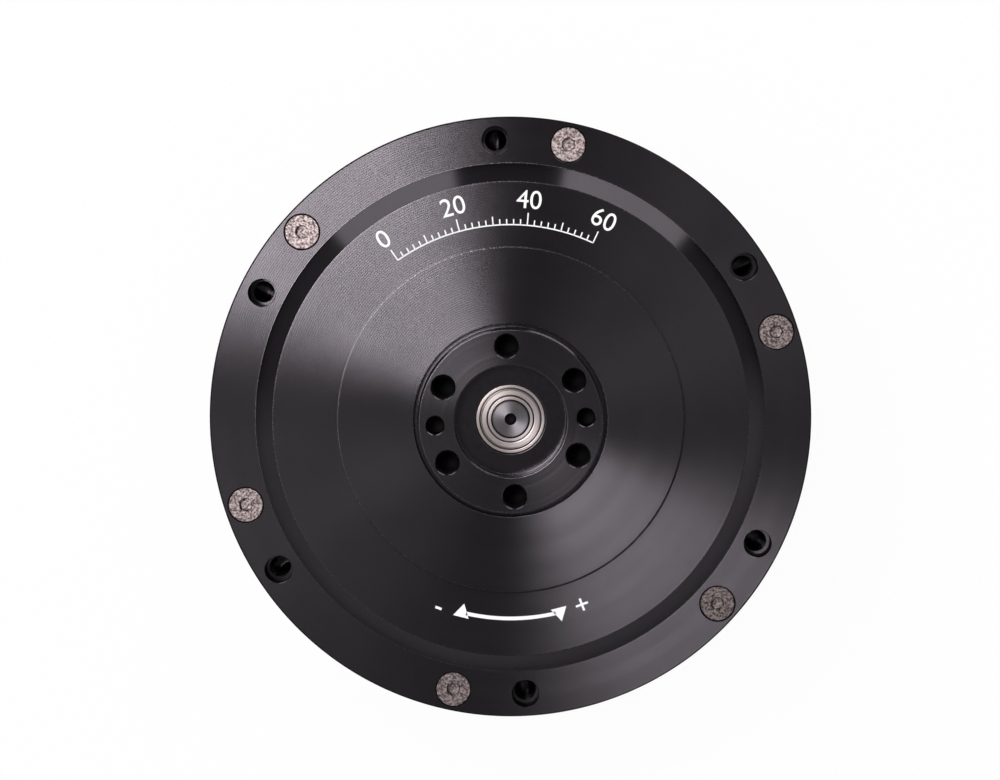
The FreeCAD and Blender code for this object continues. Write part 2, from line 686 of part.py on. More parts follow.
def make_front_cover_screws():
    """Countersunk hex screws that hold the cover on the housing."""
    outline = countersunk(rim_top, size.m3_head_dia / 2, m3_r, size.m3_length, -1)
    socket = (size.m3_socket, rim_top - size.m3_socket_depth, size.m3_socket_depth)
    return screw_set(
        "front_cover_screws", rim_screw_circle_r, outline, size.rim_count, size.rim_screw_turn, socket
    )


def make_main_housing():
    """Housing with the motor bore, the shoulder under the ring gear, and cooling grooves outside."""
    body = turned("main_housing", [
        (motor_bore_r, base_top),
        (body_r, base_top),
        (body_r, housing_top),
        (ring_outer_r, housing_top),
        (ring_outer_r, ring_bottom),
        (ring_outer_r - size.shoulder_width, ring_bottom),
        (ring_outer_r - size.shoulder_width, shoulder_bottom),
        (motor_bore_r, shoulder_bottom),
    ])
    start = base_top + size.fin_start
    sketch = upright_sketch(body)
    polygon(sketch, ring_outline(
        body_r - size.fin_groove_depth,
        body_r + size.fin_groove_depth,
        start,
        start + size.fin_groove_width,
    ))
    groove = revolve(body, sketch, "Groove")
    fins = body.newObject("PartDesign::LinearPattern", "fins")
    fins.Originals = [groove]
    fins.Direction = (origin_feature(body, "Z_Axis"), [""])
    fins.setExpression("Length", str(size.fin_pitch * (size.fin_count - 1)))
    fins.setExpression("Occurrences", str(size.fin_count))
    body.Tip = fins
    seal_outer_r = seal_inner_r + size.seal_section
    seat = upright_sketch(body)
    polygon(seat, ring_outline(
        seal_inner_r - size.seal_gap,
        seal_outer_r + size.seal_gap,
        housing_top - size.seal_depth,
        housing_top + size.seal_depth,
    ))
    revolve(body, seat, "Groove")
    rim_thread = plain_hole(size.rim_thread_dia / 2, housing_top, housing_top - size.rim_thread_depth)
    drill(body, rim_bore_circle_r, rim_thread, size.rim_count, size.rim_bore_turn)
    screw_thread = plain_hole(m3_r, housing_top, rim_top - size.m3_length - size.tip_clearance)
    drill(body, rim_screw_circle_r, screw_thread, size.rim_count, size.rim_screw_turn)
    rear_thread = plain_hole(
        size.rear_screw_dia / 2,
        base_top,
        base_top + size.rear_screw_grip + size.tip_clearance,
    )
    drill(body, rear_screw_circle_r, rear_thread, size.rear_screw_count)
    key_slot = plain_hole(size.key_dia / 2, ring_bottom, housing_top)
    drill(body, ring_outer_r, key_slot, size.key_count)
    return body


def make_rear_cover():
    """Cover over the driver board, with slots in its rear face and windows for the three sockets."""
    edge = size.edge_chamfer
    body = turned("rear_cover", [
        (NOTHING, NOTHING),
        (body_r - edge, NOTHING),
        (body_r, edge),
        (body_r, base_bottom),
        (rear_bore_r, base_bottom),
        (rear_bore_r, size.rear_floor),
        (NOTHING, size.rear_floor),
    ])
    vane_end = body_r - size.vane_inset
    vane = slab(
        body, "Pocket", vane_end - size.vane_length, vane_end, size.vane_width / 2,
        NOTHING, size.vane_depth,
    )
    repeat(body, [vane], size.vane_count)
    screw_bore_r = size.rear_screw_dia / 2 + size.screw_clearance
    counterbore_r = size.rear_head_dia / 2 + size.screw_clearance
    drill(body, rear_screw_circle_r, [
        (NOTHING, NOTHING),
        (counterbore_r, NOTHING),
        (counterbore_r, size.rear_head_depth),
        (screw_bore_r, size.rear_head_depth),
        (screw_bore_r, base_bottom),
        (NOTHING, base_bottom),
    ], size.rear_screw_count)
    board_thread = plain_hole(m2_r, size.rear_floor, size.rear_floor - size.board_screw_bite)
    drill(body, standoff_circle_r, board_thread, size.standoff_count, standoff_turn)
    for width, height, turn in socket_windows:
        cut_window(body, width, height, turn)
    return body


def cut_window(body, width, height, turn):
    """A slot through the rear cover's wall, open at the joint with the stator base."""
    sketch = level_sketch(body, board_top)
    sketch.AttachmentOffset = FreeCAD.Placement(
        FreeCAD.Vector(0, 0, board_top.value()), FreeCAD.Rotation(FreeCAD.Vector(0, 0, 1), turn.value())
    )
    sketch.setExpression("AttachmentOffset.Rotation.Angle", str(turn))
    rectangle(sketch, rear_bore_r - size.rear_wall, body_r + size.rear_wall, width / 2 + size.socket_gap)
    window = body.newObject("PartDesign::Pocket", "window")
    window.Profile = sketch
    window.Reversed = True
    window.setExpression("Length", str(height + size.socket_gap))
    body.Tip = window


def make_rear_cover_screws():
    """Cap screws from the rear, through cover and stator base into the housing."""
    head_r = size.rear_head_dia / 2
    shank_r = size.rear_screw_dia / 2
    head_bottom = size.rear_head_depth - size.rear_head_height
    tip = base_top + size.rear_screw_grip
    outline = [
        (NOTHING, head_bottom),
        (head_r, head_bottom),
        (head_r, size.rear_head_depth),
        (shank_r, size.rear_head_depth),
        (shank_r, tip),
        (NOTHING, tip),
    ]
    socket = (size.m3_socket, head_bottom, size.m3_socket_depth)
    return screw_set(
        "rear_cover_screws", rear_screw_circle_r, outline, size.rear_screw_count, None, socket
    )


def make_cover_o_ring():
    """O-ring pressed flat in its groove between housing and cover."""
    outer = seal_inner_r + size.seal_section
    return ring("cover_o_ring", seal_inner_r, outer, housing_top - size.seal_depth, housing_top)


# Motor


def make_stator_base():
    """Plate that closes the motor, with the tube for the stator and the tube for the hub bearings."""
    tube_inner_r = core_bore_r - size.tube_wall
    bearing_tube_r = hub_bearing_r + size.bearing_tube_wall
    stop_r = hub_bearing_r - size.hub_bearing_stop
    spigot_outer_r = motor_bore_r - size.spigot_gap
    spigot_inner_r = spigot_outer_r - size.base_spigot_width
    seat_r = core_bore_r + size.core_back / 2
    seat_level = core_bottom - size.insulator
    body = turned("stator_base", [
        (hub_bearing_r, base_bottom),
        (body_r, base_bottom),
        (body_r, base_top),
        (spigot_outer_r, base_top),
        (spigot_outer_r, base_top + size.base_spigot),
        (spigot_inner_r, base_top + size.base_spigot),
        (spigot_inner_r, base_top),
        (seat_r, base_top),
        (seat_r, seat_level),
        (core_bore_r, seat_level),
        (core_bore_r, core_top),
        (tube_inner_r, core_top),
        (tube_inner_r, base_top),
        (bearing_tube_r, base_top),
        (bearing_tube_r, tube_top),
        (hub_bearing_r, tube_top),
        (hub_bearing_r, front_bearing_bottom),
        (stop_r, front_bearing_bottom),
        (stop_r, rear_bearing_top),
        (hub_bearing_r, rear_bearing_top),
    ])
    through = plain_hole(size.rear_screw_dia / 2 + size.screw_clearance, base_bottom, base_top)
    drill(body, rear_screw_circle_r, through, size.rear_screw_count)
    lead_hole = plain_hole(size.lead_dia / 2 + size.lead_clearance, base_bottom, base_top)
    drill(body, coil_middle_r, lead_hole, size.lead_count)
    return body


def make_stator_core():
    """Laminated core: back iron, and straight teeth that end in pole shoes."""
    body = ring("stator_core", core_bore_r, back_r, core_bottom, core_top)
    tooth = slab(
        body, "Pad", back_r - size.core_back / 2, shoe_r + size.shoe_height / 2, tooth_width / 2,
        core_bottom, size.core_length,
    )
    sketch = upright_sketch(body)
    polygon(sketch, ring_outline(shoe_r, core_r, core_bottom, core_top))
    shoe = revolve(body, sketch, angle=Formula("360") / size.slot_count * size.shoe_share)
    repeat(body, [tooth, shoe], size.slot_count)
    return body


def make_stator_insulator(label, bottom, collar_bottom):
    """Moulded end insulator: a ring over the back iron, a finger on each tooth, and a collar."""
    body = ring(label, core_bore_r, back_r, bottom, bottom + size.insulator)
    finger = slab(
        body, "Pad", back_r - size.core_back / 2, coil_outer_r, tooth_width / 2,
        bottom, size.insulator,
    )
    repeat(body, [finger], size.slot_count)
    sketch = upright_sketch(body)
    collar_inner = back_r - size.core_back / 3
    collar_height = size.overhang - size.insulator
    polygon(sketch, ring_outline(collar_inner, back_r, collar_bottom, collar_bottom + collar_height))
    revolve(body, sketch)
    return body


def make_stator_windings():
    """One coil round each tooth."""
    body = new_body("stator_windings")
    inner_half = tooth_width / 2 + size.liner_gap
    outer_half = coil_inner_r * f"tan(180 / {size.slot_count})" - size.coil_side_gap
    solid = slab(body, "Pad", coil_inner_r, coil_outer_r, outer_half, coil_bottom, coil_top - coil_bottom)
    hole_bottom = core_bottom - size.insulator - size.liner_gap
    hole_height = size.core_length + (size.insulator + size.liner_gap) * 2
    near = coil_inner_r - size.coil_gap
    far = coil_outer_r + size.coil_gap
    core_hole = slab(body, "Pocket", near, far, inner_half, hole_bottom, hole_height)
    repeat(body, [solid, core_hole], size.slot_count)
    return body


def make_phase_leads():
    """Three leads from the coils down to the driver board."""
    outline = plain_hole(size.lead_dia / 2, board_top, coil_bottom)
    return screw_set("phase_leads", coil_middle_r, outline, size.lead_count)


def make_rotor_bell():
    """Steel bell round the stator, with a windowed web above it."""
    bell_bottom = base_top + size.base_spigot + size.bell_clearance
    body = turned("rotor_bell", [
        (web_pilot_r, web_bottom),
        (magnet_outer_r, web_bottom),
        (magnet_outer_r, bell_bottom),
        (bell_r, bell_bottom),
        (bell_r, web_top),
        (web_pilot_r, web_top),
    ])
    window_r = (magnet_outer_r - hub_flange_r) / 2 * size.window_share
    window = plain_hole(window_r, web_bottom, web_top)
    drill(body, (magnet_outer_r + hub_flange_r) / 2, window, size.window_count)
    sunk = countersunk(
        web_top, size.m2_head_dia / 2 + size.head_gap, m2_r + size.screw_clearance,
        size.web_thickness, -1,
    )
    drill(body, web_screw_circle_r, sunk, size.web_screw_count, half_turn_of_windows)
    return body


def make_rotor_magnets():
    """Curved magnets inside the bell."""
    body = new_body("rotor_magnets")
    sketch = upright_sketch(body)
    polygon(sketch, ring_outline(
        magnet_inner_r, magnet_outer_r, core_bottom - size.magnet_extra, core_top + size.magnet_extra
    ))
    magnet = revolve(body, sketch, angle=Formula("360") / size.magnet_count * size.magnet_share)
    repeat(body, [magnet], size.magnet_count)
    return body


def make_web_screws():
    """Countersunk screws that hold the bell on the shaft flange."""
    outline = countersunk(web_top, size.m2_head_dia / 2, m2_r, size.web_screw_length, -1)
    socket = (size.m2_socket, web_top - size.m3_socket_depth / 2, size.m3_socket_depth / 2)
    return screw_set(
        "rotor_web_screws", web_screw_circle_r, outline, size.web_screw_count, half_turn_of_windows, socket
    )


# Gears


def involute(angle):
    """The involute function."""
    return math.tan(angle) - angle


def tooth_wire(teeth, outer, root, thinned):
    """Closed outline of a gear with involute flanks, a tooth on the X axis.

    outer and root are the tip and root radii, and thinned is what each tooth loses at the pitch circle.
    """
    pitch = gear_module.value() * teeth / 2
    pressure = math.radians(size.pressure_angle.value())
    base = pitch * math.cos(pressure)
    half_tooth = math.pi / (2 * teeth) - thinned / (2 * pitch)
    start = max(base, root)

    def half_angle(radius):
        return half_tooth + involute(pressure) - involute(math.acos(min(1.0, base / radius)))

    middle = (start + outer) / 2
    step = 2 * math.pi / teeth
    edges = []
    for number in range(teeth):
        centre = number * step
        rise = [polar(radius, centre - half_angle(radius)) for radius in (start, middle, outer)]
        fall = [polar(radius, centre + half_angle(radius)) for radius in (outer, middle, start)]
        foot = polar(root, centre + half_angle(start))
        next_foot = polar(root, centre + step - half_angle(start))
        if root < base:
            edges.append(Part.makeLine(polar(root, centre - half_angle(start)), rise[0]))
        edges.append(Part.Arc(*rise).toShape())
        edges.append(Part.Arc(rise[2], polar(outer, centre), fall[0]).toShape())
        edges.append(Part.Arc(*fall).toShape())
        if root < base:
            edges.append(Part.makeLine(fall[2], foot))
        edges.append(Part.Arc(foot, polar(root, centre + step / 2), next_foot).toShape())
    return Part.Wire(edges)


def extrude(outline, bottom, height):
    """Stand a flat outline up from a level."""
    shape = Part.Face(outline).extrude(FreeCAD.Vector(0, 0, height))
    shape.translate(FreeCAD.Vector(0, 0, bottom))
    return shape


def cylinder(radius, bottom, height, centre=None):
    """A round solid on the axis, or on a centre of its own."""
    foot = (centre or FreeCAD.Vector()) + FreeCAD.Vector(0, 0, bottom)
    return Part.makeCylinder(radius, height, foot)


def gear_feature(label, shape):
    """Put a shape that was made in code into the document."""
    feature = doc.addObject("Part::Feature", label)
    feature.Label = label
    feature.Shape = shape
    return feature


def make_ring_gear():
    """Internal gear, pressed in the housing and locked by half-round pins."""
    module = gear_module.value()
    teeth = round(ring_teeth.value())
    inner = module * (teeth / 2 - size.addendum.value())
    root = ring_root_r.value()
    outer = ring_outer_r.value()
    bottom = ring_bottom.value()
    height = ring_top.value() - bottom
    space = extrude(tooth_wire(teeth, root, inner, 0), bottom, height)
    count = round(size.key_count.value())
    keys = [
        cylinder(size.key_dia.value() / 2, bottom, height, polar(outer, 2 * math.pi * number / count))
        for number in range(count)
    ]
    return gear_feature("ring_gear", cylinder(outer, bottom, height).cut([space] + keys))


def make_planet_gear(number):
    """Planet gear with the bore for its needle bush, set on the carrier circle."""
    teeth = round(size.planet_teeth.value())
    root = gear_module.value() * (teeth / 2 - size.dedendum.value())
    outline = tooth_wire(teeth, planet_outer_r.value(), root, size.backlash.value())
    bottom = planet_bottom.value()
    height = size.gear_width.value()
    bore = cylinder(bush_outer_r.value(), bottom, height)
    gear = gear_feature(f"planet_gear_{number}", extrude(outline, bottom, height).cut(bore))
    angle = planet_angle(number)
    spin = FreeCAD.Rotation(FreeCAD.Vector(0, 0, 1), math.degrees(angle))
    gear.Placement = FreeCAD.Placement(polar(centre_distance.value(), angle), spin)
    return gear


def planet_angle(number):
    """Where a planet stands round the sun, in radians."""
    return math.radians(120 * (number - 1))


def make_planet_bush(number):
    """Needle bush pressed in a planet, running on the planet's pin."""
    body = ring(f"planet_bush_{number}", pin_r + size.bush_gap, bush_outer_r, planet_bottom, planet_top)
    turn = 120 * (number - 1)
    move(body, centre_distance * f"cos({turn})", centre_distance * f"sin({turn})")
    return body


def make_sun_shaft():
    """Stepped shaft with the sun gear, from the encoder end to the nose in the output flange."""
    flange_bottom = web_bottom - size.hub_flange
    collar_r = shaft_r + hub_race
    groove_r = shaft_r - size.circlip_groove
    groove_bottom = rear_bearing_bottom - size.circlip_thickness
    chamfer = size.dowel_mouth
    blank = turned("shaft_blank", [
        (NOTHING, shaft_bottom),
        (shaft_r, shaft_bottom),
        (shaft_r, groove_bottom),
        (groove_r, groove_bottom),
        (groove_r, rear_bearing_bottom),
        (shaft_r, rear_bearing_bottom),
        (shaft_r, tube_top),
        (collar_r, tube_top),
        (collar_r, flange_bottom),
        (hub_flange_r, flange_bottom),
        (hub_flange_r, web_bottom),
        (web_pilot_r, web_bottom),
        (web_pilot_r, web_top),
        (shaft_r, web_top),
        (shaft_r, ring_bottom),
        (sun_root_r - size.sun_core, ring_bottom),
        (sun_root_r - size.sun_core, ring_top),
        (journal_r + size.neck_wall, ring_top),
        (journal_r + size.neck_wall, nose_bearing_bottom),
        (journal_r, nose_bearing_bottom),
        (journal_r, shaft_end - chamfer),
        (journal_r - chamfer, shaft_end),
        (size.centre_drill_dia / 2, shaft_end),
        (NOTHING, shaft_end - size.centre_drill_depth),
    ])
    thread = plain_hole(m2_r, flange_bottom, web_bottom)
    drill(blank, web_screw_circle_r, thread, size.web_screw_count, half_turn_of_windows)
    teeth = round(size.sun_teeth.value())
    height = (ring_top - ring_bottom).value()
    outline = tooth_wire(teeth, sun_outer_r.value(), sun_root_r.value(), 0)
    toothed = gear_feature("sun_teeth", extrude(outline, 0, height))
    toothed.Placement = FreeCAD.Placement(
        FreeCAD.Vector(0, 0, ring_bottom.value()),
        FreeCAD.Rotation(FreeCAD.Vector(0, 0, 1), 180 / teeth),
    )
    shaft = doc.addObject("Part::Fuse", "sun_shaft")
    shaft.Label = "sun_shaft"
    shaft.Base = blank
    shaft.Tool = toothed
    return shaft


# Shaft bearings and what stands on the shaft


def make_shaft_circlip():
    """Open snap ring in the shaft's groove, under the rear hub bearing."""
    body = new_body("shaft_circlip")
    sketch = upright_sketch(body)
    polygon(sketch, ring_outline(
        shaft_r - size.circlip_groove,
        shaft_r + size.circlip_reach,
        rear_bearing_bottom - size.circlip_thickness,
        rear_bearing_bottom,
    ))
    revolve(body, sketch, angle=Formula("360") - size.circlip_opening)
    return body


def make_hub_bearings():
    """Outer and inner rings of the two bearings in the stator base's tube."""
    spans = (
        (rear_bearing_bottom, rear_bearing_top),
        (front_bearing_bottom, tube_top),
    )
    outer = [ring_outline(hub_bearing_r - hub_race, hub_bearing_r, *span) for span in spans]
    inner = [ring_outline(shaft_r, shaft_r + hub_race, *span) for span in spans]
    return [turned("hub_bearing_outer_rings", *outer), turned("hub_bearing_inner_rings", *inner)]


def shield_outline(inner_r, outer_r, level, toward):
    """Section of a bearing shield set just inside a ring's face."""
    outer_face = level + size.shield_inset * toward
    inner_face = outer_face + size.shield_thickness * toward
    return ring_outline(inner_r, outer_r, outer_face, inner_face)


def make_hub_bearing_seals():
    """Seals on both faces of both hub bearings."""
    inner = shaft_r + hub_race + size.shield_gap
    outer = hub_bearing_r - hub_race
    faces = (
        (rear_bearing_bottom, 1),
        (rear_bearing_top, -1),
        (front_bearing_bottom, 1),
        (tube_top, -1),
    )
    outlines = [shield_outline(inner, outer, level, toward) for level, toward in faces]
    return turned("hub_bearing_seals", *outlines)


def make_bearing_spacer():
    """Tube that holds the hub bearings' inner rings apart."""
    return ring(
        "hub_bearing_spacer", shaft_r, shaft_r + size.spacer_wall, rear_bearing_top, front_bearing_bottom
    )


def make_nose_bearing():
    """Shielded ball bearing between the shaft's nose and the output flange."""
    bottom = nose_bearing_bottom
    top = nose_bearing_top
    outer_bore = nose_bearing_r - nose_race
    inner_edge = journal_r + nose_race
    outer = ring("nose_bearing_outer_ring", outer_bore, nose_bearing_r, bottom, top)
    inner = ring("nose_bearing_inner_ring", journal_r, inner_edge, bottom, top)
    shields = turned(
        "nose_bearing_shields",
        shield_outline(inner_edge + size.shield_gap, outer_bore, bottom, 1),
        shield_outline(inner_edge + size.shield_gap, outer_bore, top, -1),
    )
    return [outer, inner, shields]


def make_magnet_holder():
    """Cup on the shaft's end that carries the encoder magnet."""
    magnet_r = size.magnet_dia / 2
    outer = shaft_r + size.holder_wall
    holder = turned("encoder_magnet_holder", [
        (magnet_r, magnet_bottom),
        (outer, magnet_bottom),
        (outer, shaft_bottom + size.holder_grip),
        (shaft_r, shaft_bottom + size.holder_grip),
        (shaft_r, shaft_bottom),
        (magnet_r, shaft_bottom),
    ])
    magnet = doc.addObject("Part::Cylinder", "encoder_magnet")
    magnet.Label = "encoder_magnet"
    magnet.setExpression("Radius", str(magnet_r))
    magnet.setExpression("Height", str(size.encoder_magnet))
    magnet.setExpression("Placement.Base.z", str(magnet_bottom))
    return [holder, magnet]


# Output and carrier


def make_output_flange():
    """Output nose with its bores and recess, and the seat of the main bearing's inner ring."""
    lip_r = nose_bearing_r - size.nose_lip_cover
    edge = size.edge_chamfer
    shoulder_r = bearing_inner_r + size.shoulder_reach
    shoulder_top = bearing_top + size.flange_shoulder
    body = turned("output_flange", [
        (nose_bearing_r, bearing_bottom),
        (bearing_inner_r, bearing_bottom),
        (bearing_inner_r, bearing_top),
        (shoulder_r, bearing_top),
        (shoulder_r, shoulder_top),
        (nose_r, shoulder_top),
        (nose_r, nose_top - edge),
        (nose_r - edge, nose_top),
        (recess_r + size.dowel_mouth, nose_top),
        (recess_r, nose_top - size.dowel_mouth),
        (recess_r, recess_floor),
        (lip_r, recess_floor),
        (lip_r, nose_bearing_top),
        (nose_bearing_r, nose_bearing_top),
    ])
    threads = drilled_hole(
        size.output_bore_dia / 2, size.output_bore_mouth, nose_top, size.output_bore_depth
    )
    drill(body, output_circle_r, threads, 6, size.rim_bore_turn)
    dowels = drilled_hole(size.dowel_dia / 2, size.dowel_mouth, nose_top, size.dowel_depth)
    drill(body, output_circle_r, dowels, 2)
    grip = size.flange_screw_length - size.front_plate + size.tip_clearance / 2
    screw_thread = plain_hole(m3_r, bearing_bottom, bearing_bottom + grip)
    drill(body, flange_screw_circle_r, screw_thread, size.flange_screw_count, size.rim_bore_turn)
    return body


def make_carrier_front_plate():
    """Plate under the output flange, with three posts that reach down between the planets."""
    seat_r = bearing_inner_r + size.seat_width
    bore_r = sun_outer_r + size.sun_gap
    body = turned("carrier_front_plate", [
        (bore_r, front_plate_bottom),
        (plate_r, front_plate_bottom),
        (plate_r, bearing_bottom - size.seat_height),
        (seat_r, bearing_bottom - size.seat_height),
        (seat_r, bearing_bottom),
        (bore_r, bearing_bottom),
    ])
    middle = front_plate_bottom + size.front_plate / 2
    to_planet = f"sqrt({post_circle_r} ^ 2 + {centre_distance} ^ 2 - {post_circle_r} * {centre_distance})"
    room = Formula(to_planet) - planet_outer_r - size.post_gap
    post_r = Formula(f"min({room}; {plate_r - post_circle_r - size.post_edge})")
    post = own_axis_feature(
        body, "Revolution", post_circle_r, plain_hole(post_r, rear_plate_top, middle), post_turn
    )
    repeat(body, [post], 3)
    bite = size.post_screw_length - size.rear_plate + size.tip_clearance
    thread = plain_hole(m3_r, rear_plate_top, rear_plate_top + bite)
    drill(body, post_circle_r, thread, 3, post_turn)
    drill(body, centre_distance, plain_hole(pin_r, front_plate_bottom, bearing_bottom), 3)
    sunk = countersunk(
        front_plate_bottom, size.m3_head_dia / 2 + size.head_gap, m3_r + size.screw_clearance,
        size.front_plate, 1,
    )
    drill(body, flange_screw_circle_r, sunk, size.flange_screw_count, size.rim_bore_turn)
    return body


def make_carrier_rear_plate():
    """Plate on the motor side of the planets."""
    body = ring(
        "carrier_rear_plate", shaft_r + size.shaft_gap, plate_r, carrier_bottom, rear_plate_top
    )
    drill(body, centre_distance, plain_hole(pin_r, carrier_bottom, rear_plate_top), 3)
    sunk = countersunk(
        carrier_bottom, size.m3_head_dia / 2 + size.head_gap, m3_r + size.screw_clearance,
        size.rear_plate, 1,
    )
    drill(body, post_circle_r, sunk, 3, post_turn)
    return body


def make_carrier_screws():
    """Screws up through the rear plate into the posts, and through the front plate into the flange."""
    head_r = size.m3_head_dia / 2
    posts = screw_set(
        "carrier_post_screws", post_circle_r,
        countersunk(carrier_bottom, head_r, m3_r, size.post_screw_length, 1),
        Formula("3"), post_turn, (size.m3_socket, carrier_bottom, size.m3_socket_depth),
    )
    flange = screw_set(
        "output_flange_screws", flange_screw_circle_r,
        countersunk(front_plate_bottom, head_r, m3_r, size.flange_screw_length, 1),
        size.flange_screw_count, size.rim_bore_turn,
        (size.m3_socket, front_plate_bottom, size.m3_socket_depth),
    )
    return [posts, flange]


def make_planet_pins():
    """Pins that carry the planets, held in both carrier plates."""
    outline = plain_hole(pin_r, carrier_bottom + size.pin_end_gap, bearing_bottom - size.pin_end_gap)
    return screw_set("planet_pins", centre_distance, outline, Formula("3"))


def make_thrust_washers():
    """Washers on the pins, above and below each planet."""
    body = new_body("thrust_washers")
    outer = pin_r + size.washer_width
    inner = pin_r + size.bush_gap
    levels = (
        (rear_plate_top, rear_plate_top + size.washer_thickness),
        (front_plate_bottom - size.washer_thickness, front_plate_bottom),
    )
    features = []
    for low, high in levels:
        features.append(own_axis_feature(body, "Revolution", centre_distance, plain_hole(outer, low, high)))
    whole = plain_hole(inner, rear_plate_top, front_plate_bottom)
    features.append(own_axis_feature(body, "Groove", centre_distance, whole))
    repeat(body, features, Formula("3"))
    return body


# Main bearing


def make_main_bearing():
    """Crossed roller bearing: one inner ring, an outer ring split at the rollers, and the rollers."""
    slope = Formula("sqrt(0.5)")
    track = (size.roller_dia / 2 + size.roller_gap) * slope * 2
    inner_face = pitch_r - size.race_gap / 2
    outer_face = pitch_r + size.race_gap / 2
    mouth = track - size.race_gap / 2
    middle = bearing_middle
    inner = turned("main_bearing_inner_ring", [
        (bearing_inner_r, bearing_bottom),
        (inner_face, bearing_bottom),
        (inner_face, middle - mouth),
        (pitch_r - track, middle),
        (inner_face, middle + mouth),
        (inner_face, bearing_top),
        (bearing_inner_r, bearing_top),
    ])
    rings = [inner]
    for place, level, toward in (("rear", bearing_bottom, -1), ("front", bearing_top, 1)):
        rings.append(turned(f"main_bearing_outer_ring_{place}", [
            (outer_face, level),
            (bearing_outer_r, level),
            (bearing_outer_r, middle),
            (pitch_r + track, middle),
            (outer_face, middle + mouth * toward),
        ]))
    rows = [make_rollers("rollers_leaning_out", 1), make_rollers("rollers_leaning_in", -1)]
    rows[1].setExpression("Placement.Rotation.Angle", f"180 / {roller_pairs}")
    rollers = doc.addObject("Part::Compound", "main_bearing_rollers")
    rollers.Label = "main_bearing_rollers"
    rollers.Links = rows
    return rings + [rollers]


def make_rollers(label, lean):
    """Every second roller: its axis lies in the plane of the main axis and leans by 45 degrees."""
    slope = Formula("sqrt(0.5)")
    along = size.roller_length / 2 * slope
    side = size.roller_dia / 2 * slope
    body = new_body(label)
    sketch = upright_sketch(body)
    low = (pitch_r - along * lean, bearing_middle - along)
    high = (pitch_r + along * lean, bearing_middle + along)
    polygon(sketch, [
        low,
        high,
        (high[0] + side, high[1] - side * lean),
        (low[0] + side, low[1] - side * lean),
    ])
    spots = [FreeCAD.Vector(across.value(), up.value(), 0) for across, up in (low, high)]
    line = sketch.addGeometry(Part.LineSegment(*spots), True)
    hold(sketch, (line, 1), *low)
    hold(sketch, (line, 2), *high)
    roller = revolve(body, sketch, "Revolution", "Axis0")
    repeat(body, [roller], roller_pairs)
    return body


def make_bearing_clamp():
    """Ring and screws that hold the main bearing up in the cover."""
    clamp = ring(
        "bearing_clamp_ring", plate_r + size.plate_gap, clamp_r, clamp_bottom, bearing_bottom
    )
    sunk = countersunk(
        clamp_bottom, size.m2_head_dia / 2 + size.head_gap, m2_r + size.screw_clearance,
        size.clamp_thickness, 1,
    )
    drill(clamp, clamp_circle_r, sunk, size.clamp_screw_count)
    outline = countersunk(clamp_bottom, size.m2_head_dia / 2, m2_r, size.m2_length, 1)
    socket = (size.m2_socket, clamp_bottom, size.m3_socket_depth / 2)
    screws = screw_set("bearing_clamp_screws", clamp_circle_r, outline, size.clamp_screw_count, None, socket)
    return [clamp, screws]


def make_ring_gear_pins():
    """Pins half in the ring gear and half in the housing."""
    outline = plain_hole(size.key_dia / 2, ring_bottom, ring_top)
    return screw_set("ring_gear_pins", ring_outer_r, outline, size.key_count)


# Driver board and sockets


def make_board():
    """Round driver board, its standoffs and screws."""
    board = turned("driver_board", [
        (NOTHING, board_bottom),
        (rear_bore_r - size.board_edge_gap, board_bottom),
        (rear_bore_r - size.board_edge_gap, board_top),
        (NOTHING, board_top),
    ])
    circle_r = standoff_circle_r
    board_hole = plain_hole(m2_r + size.screw_clearance, board_bottom, board_top)
    drill(board, circle_r, board_hole, size.standoff_count, standoff_turn)
    standoffs = new_body("board_standoffs")
    sleeve = own_axis_feature(
        standoffs, "Revolution", circle_r, plain_hole(size.standoff_dia / 2, size.rear_floor, board_bottom)
    )
    bore = own_axis_feature(
        standoffs, "Groove", circle_r,
        plain_hole(m2_r + size.screw_clearance, size.rear_floor, board_bottom),
    )
    repeat(standoffs, [sleeve, bore], size.standoff_count)
    standoffs.setExpression("Placement.Rotation.Angle", str(standoff_turn))
    head_r = size.m2_head_dia / 2
    head_top = board_top + size.board_screw_head
    tip = size.rear_floor - size.board_screw_bite
    screws = screw_set("board_screws", circle_r, [
        (NOTHING, tip),
        (m2_r, tip),
        (m2_r, board_top),
        (head_r, board_top),
        (head_r, head_top),
        (NOTHING, head_top),
    ], size.standoff_count, standoff_turn,
        (size.m2_socket, head_top - size.board_screw_head / 2, size.board_screw_head / 2))
    return [board, standoffs, screws]


def make_board_parts():
    """What is soldered on the board: power side down, logic side up."""
    mosfet_circle_r = rear_bore_r - size.mosfet_inset
    pads = slab_set(
        "thermal_pads", mosfet_circle_r, size.mosfet_length, size.mosfet_width,
        size.rear_floor, size.pad_thickness, size.mosfet_count,
    )
    mosfets = slab_set(
        "power_transistors", mosfet_circle_r, size.mosfet_length, size.mosfet_width,
        size.rear_floor + size.pad_thickness, size.board_gap - size.pad_thickness, size.mosfet_count,
    )
    capacitors = screw_set(
        "bus_capacitors", rear_bore_r - size.capacitor_inset,
        plain_hole(size.capacitor_dia / 2, board_top, base_bottom - size.capacitor_room),
        size.capacitor_count, size.rim_bore_turn,
    )
    controller = slab_set(
        "controller_chip", rear_bore_r - size.controller_inset, size.controller_side,
        size.controller_side, board_top, size.chip_height,
    )
    gates = slab_set(
        "gate_driver_chips", rear_bore_r - size.gate_inset, size.gate_side, size.gate_side,
        board_top, size.chip_height, size.gate_count, post_turn,
    )
    encoder = doc.addObject("Part::Box", "encoder_chip")
    encoder.Label = "encoder_chip"
    encoder.setExpression("Length", str(size.encoder_side))
    encoder.setExpression("Width", str(size.encoder_side))
    encoder.setExpression("Height", str(size.chip_height))
    move(encoder, size.encoder_side / -2, size.encoder_side / -2)
    encoder.setExpression("Placement.Base.z", str(board_top))
    return [pads, mosfets, capacitors, controller, gates, encoder]


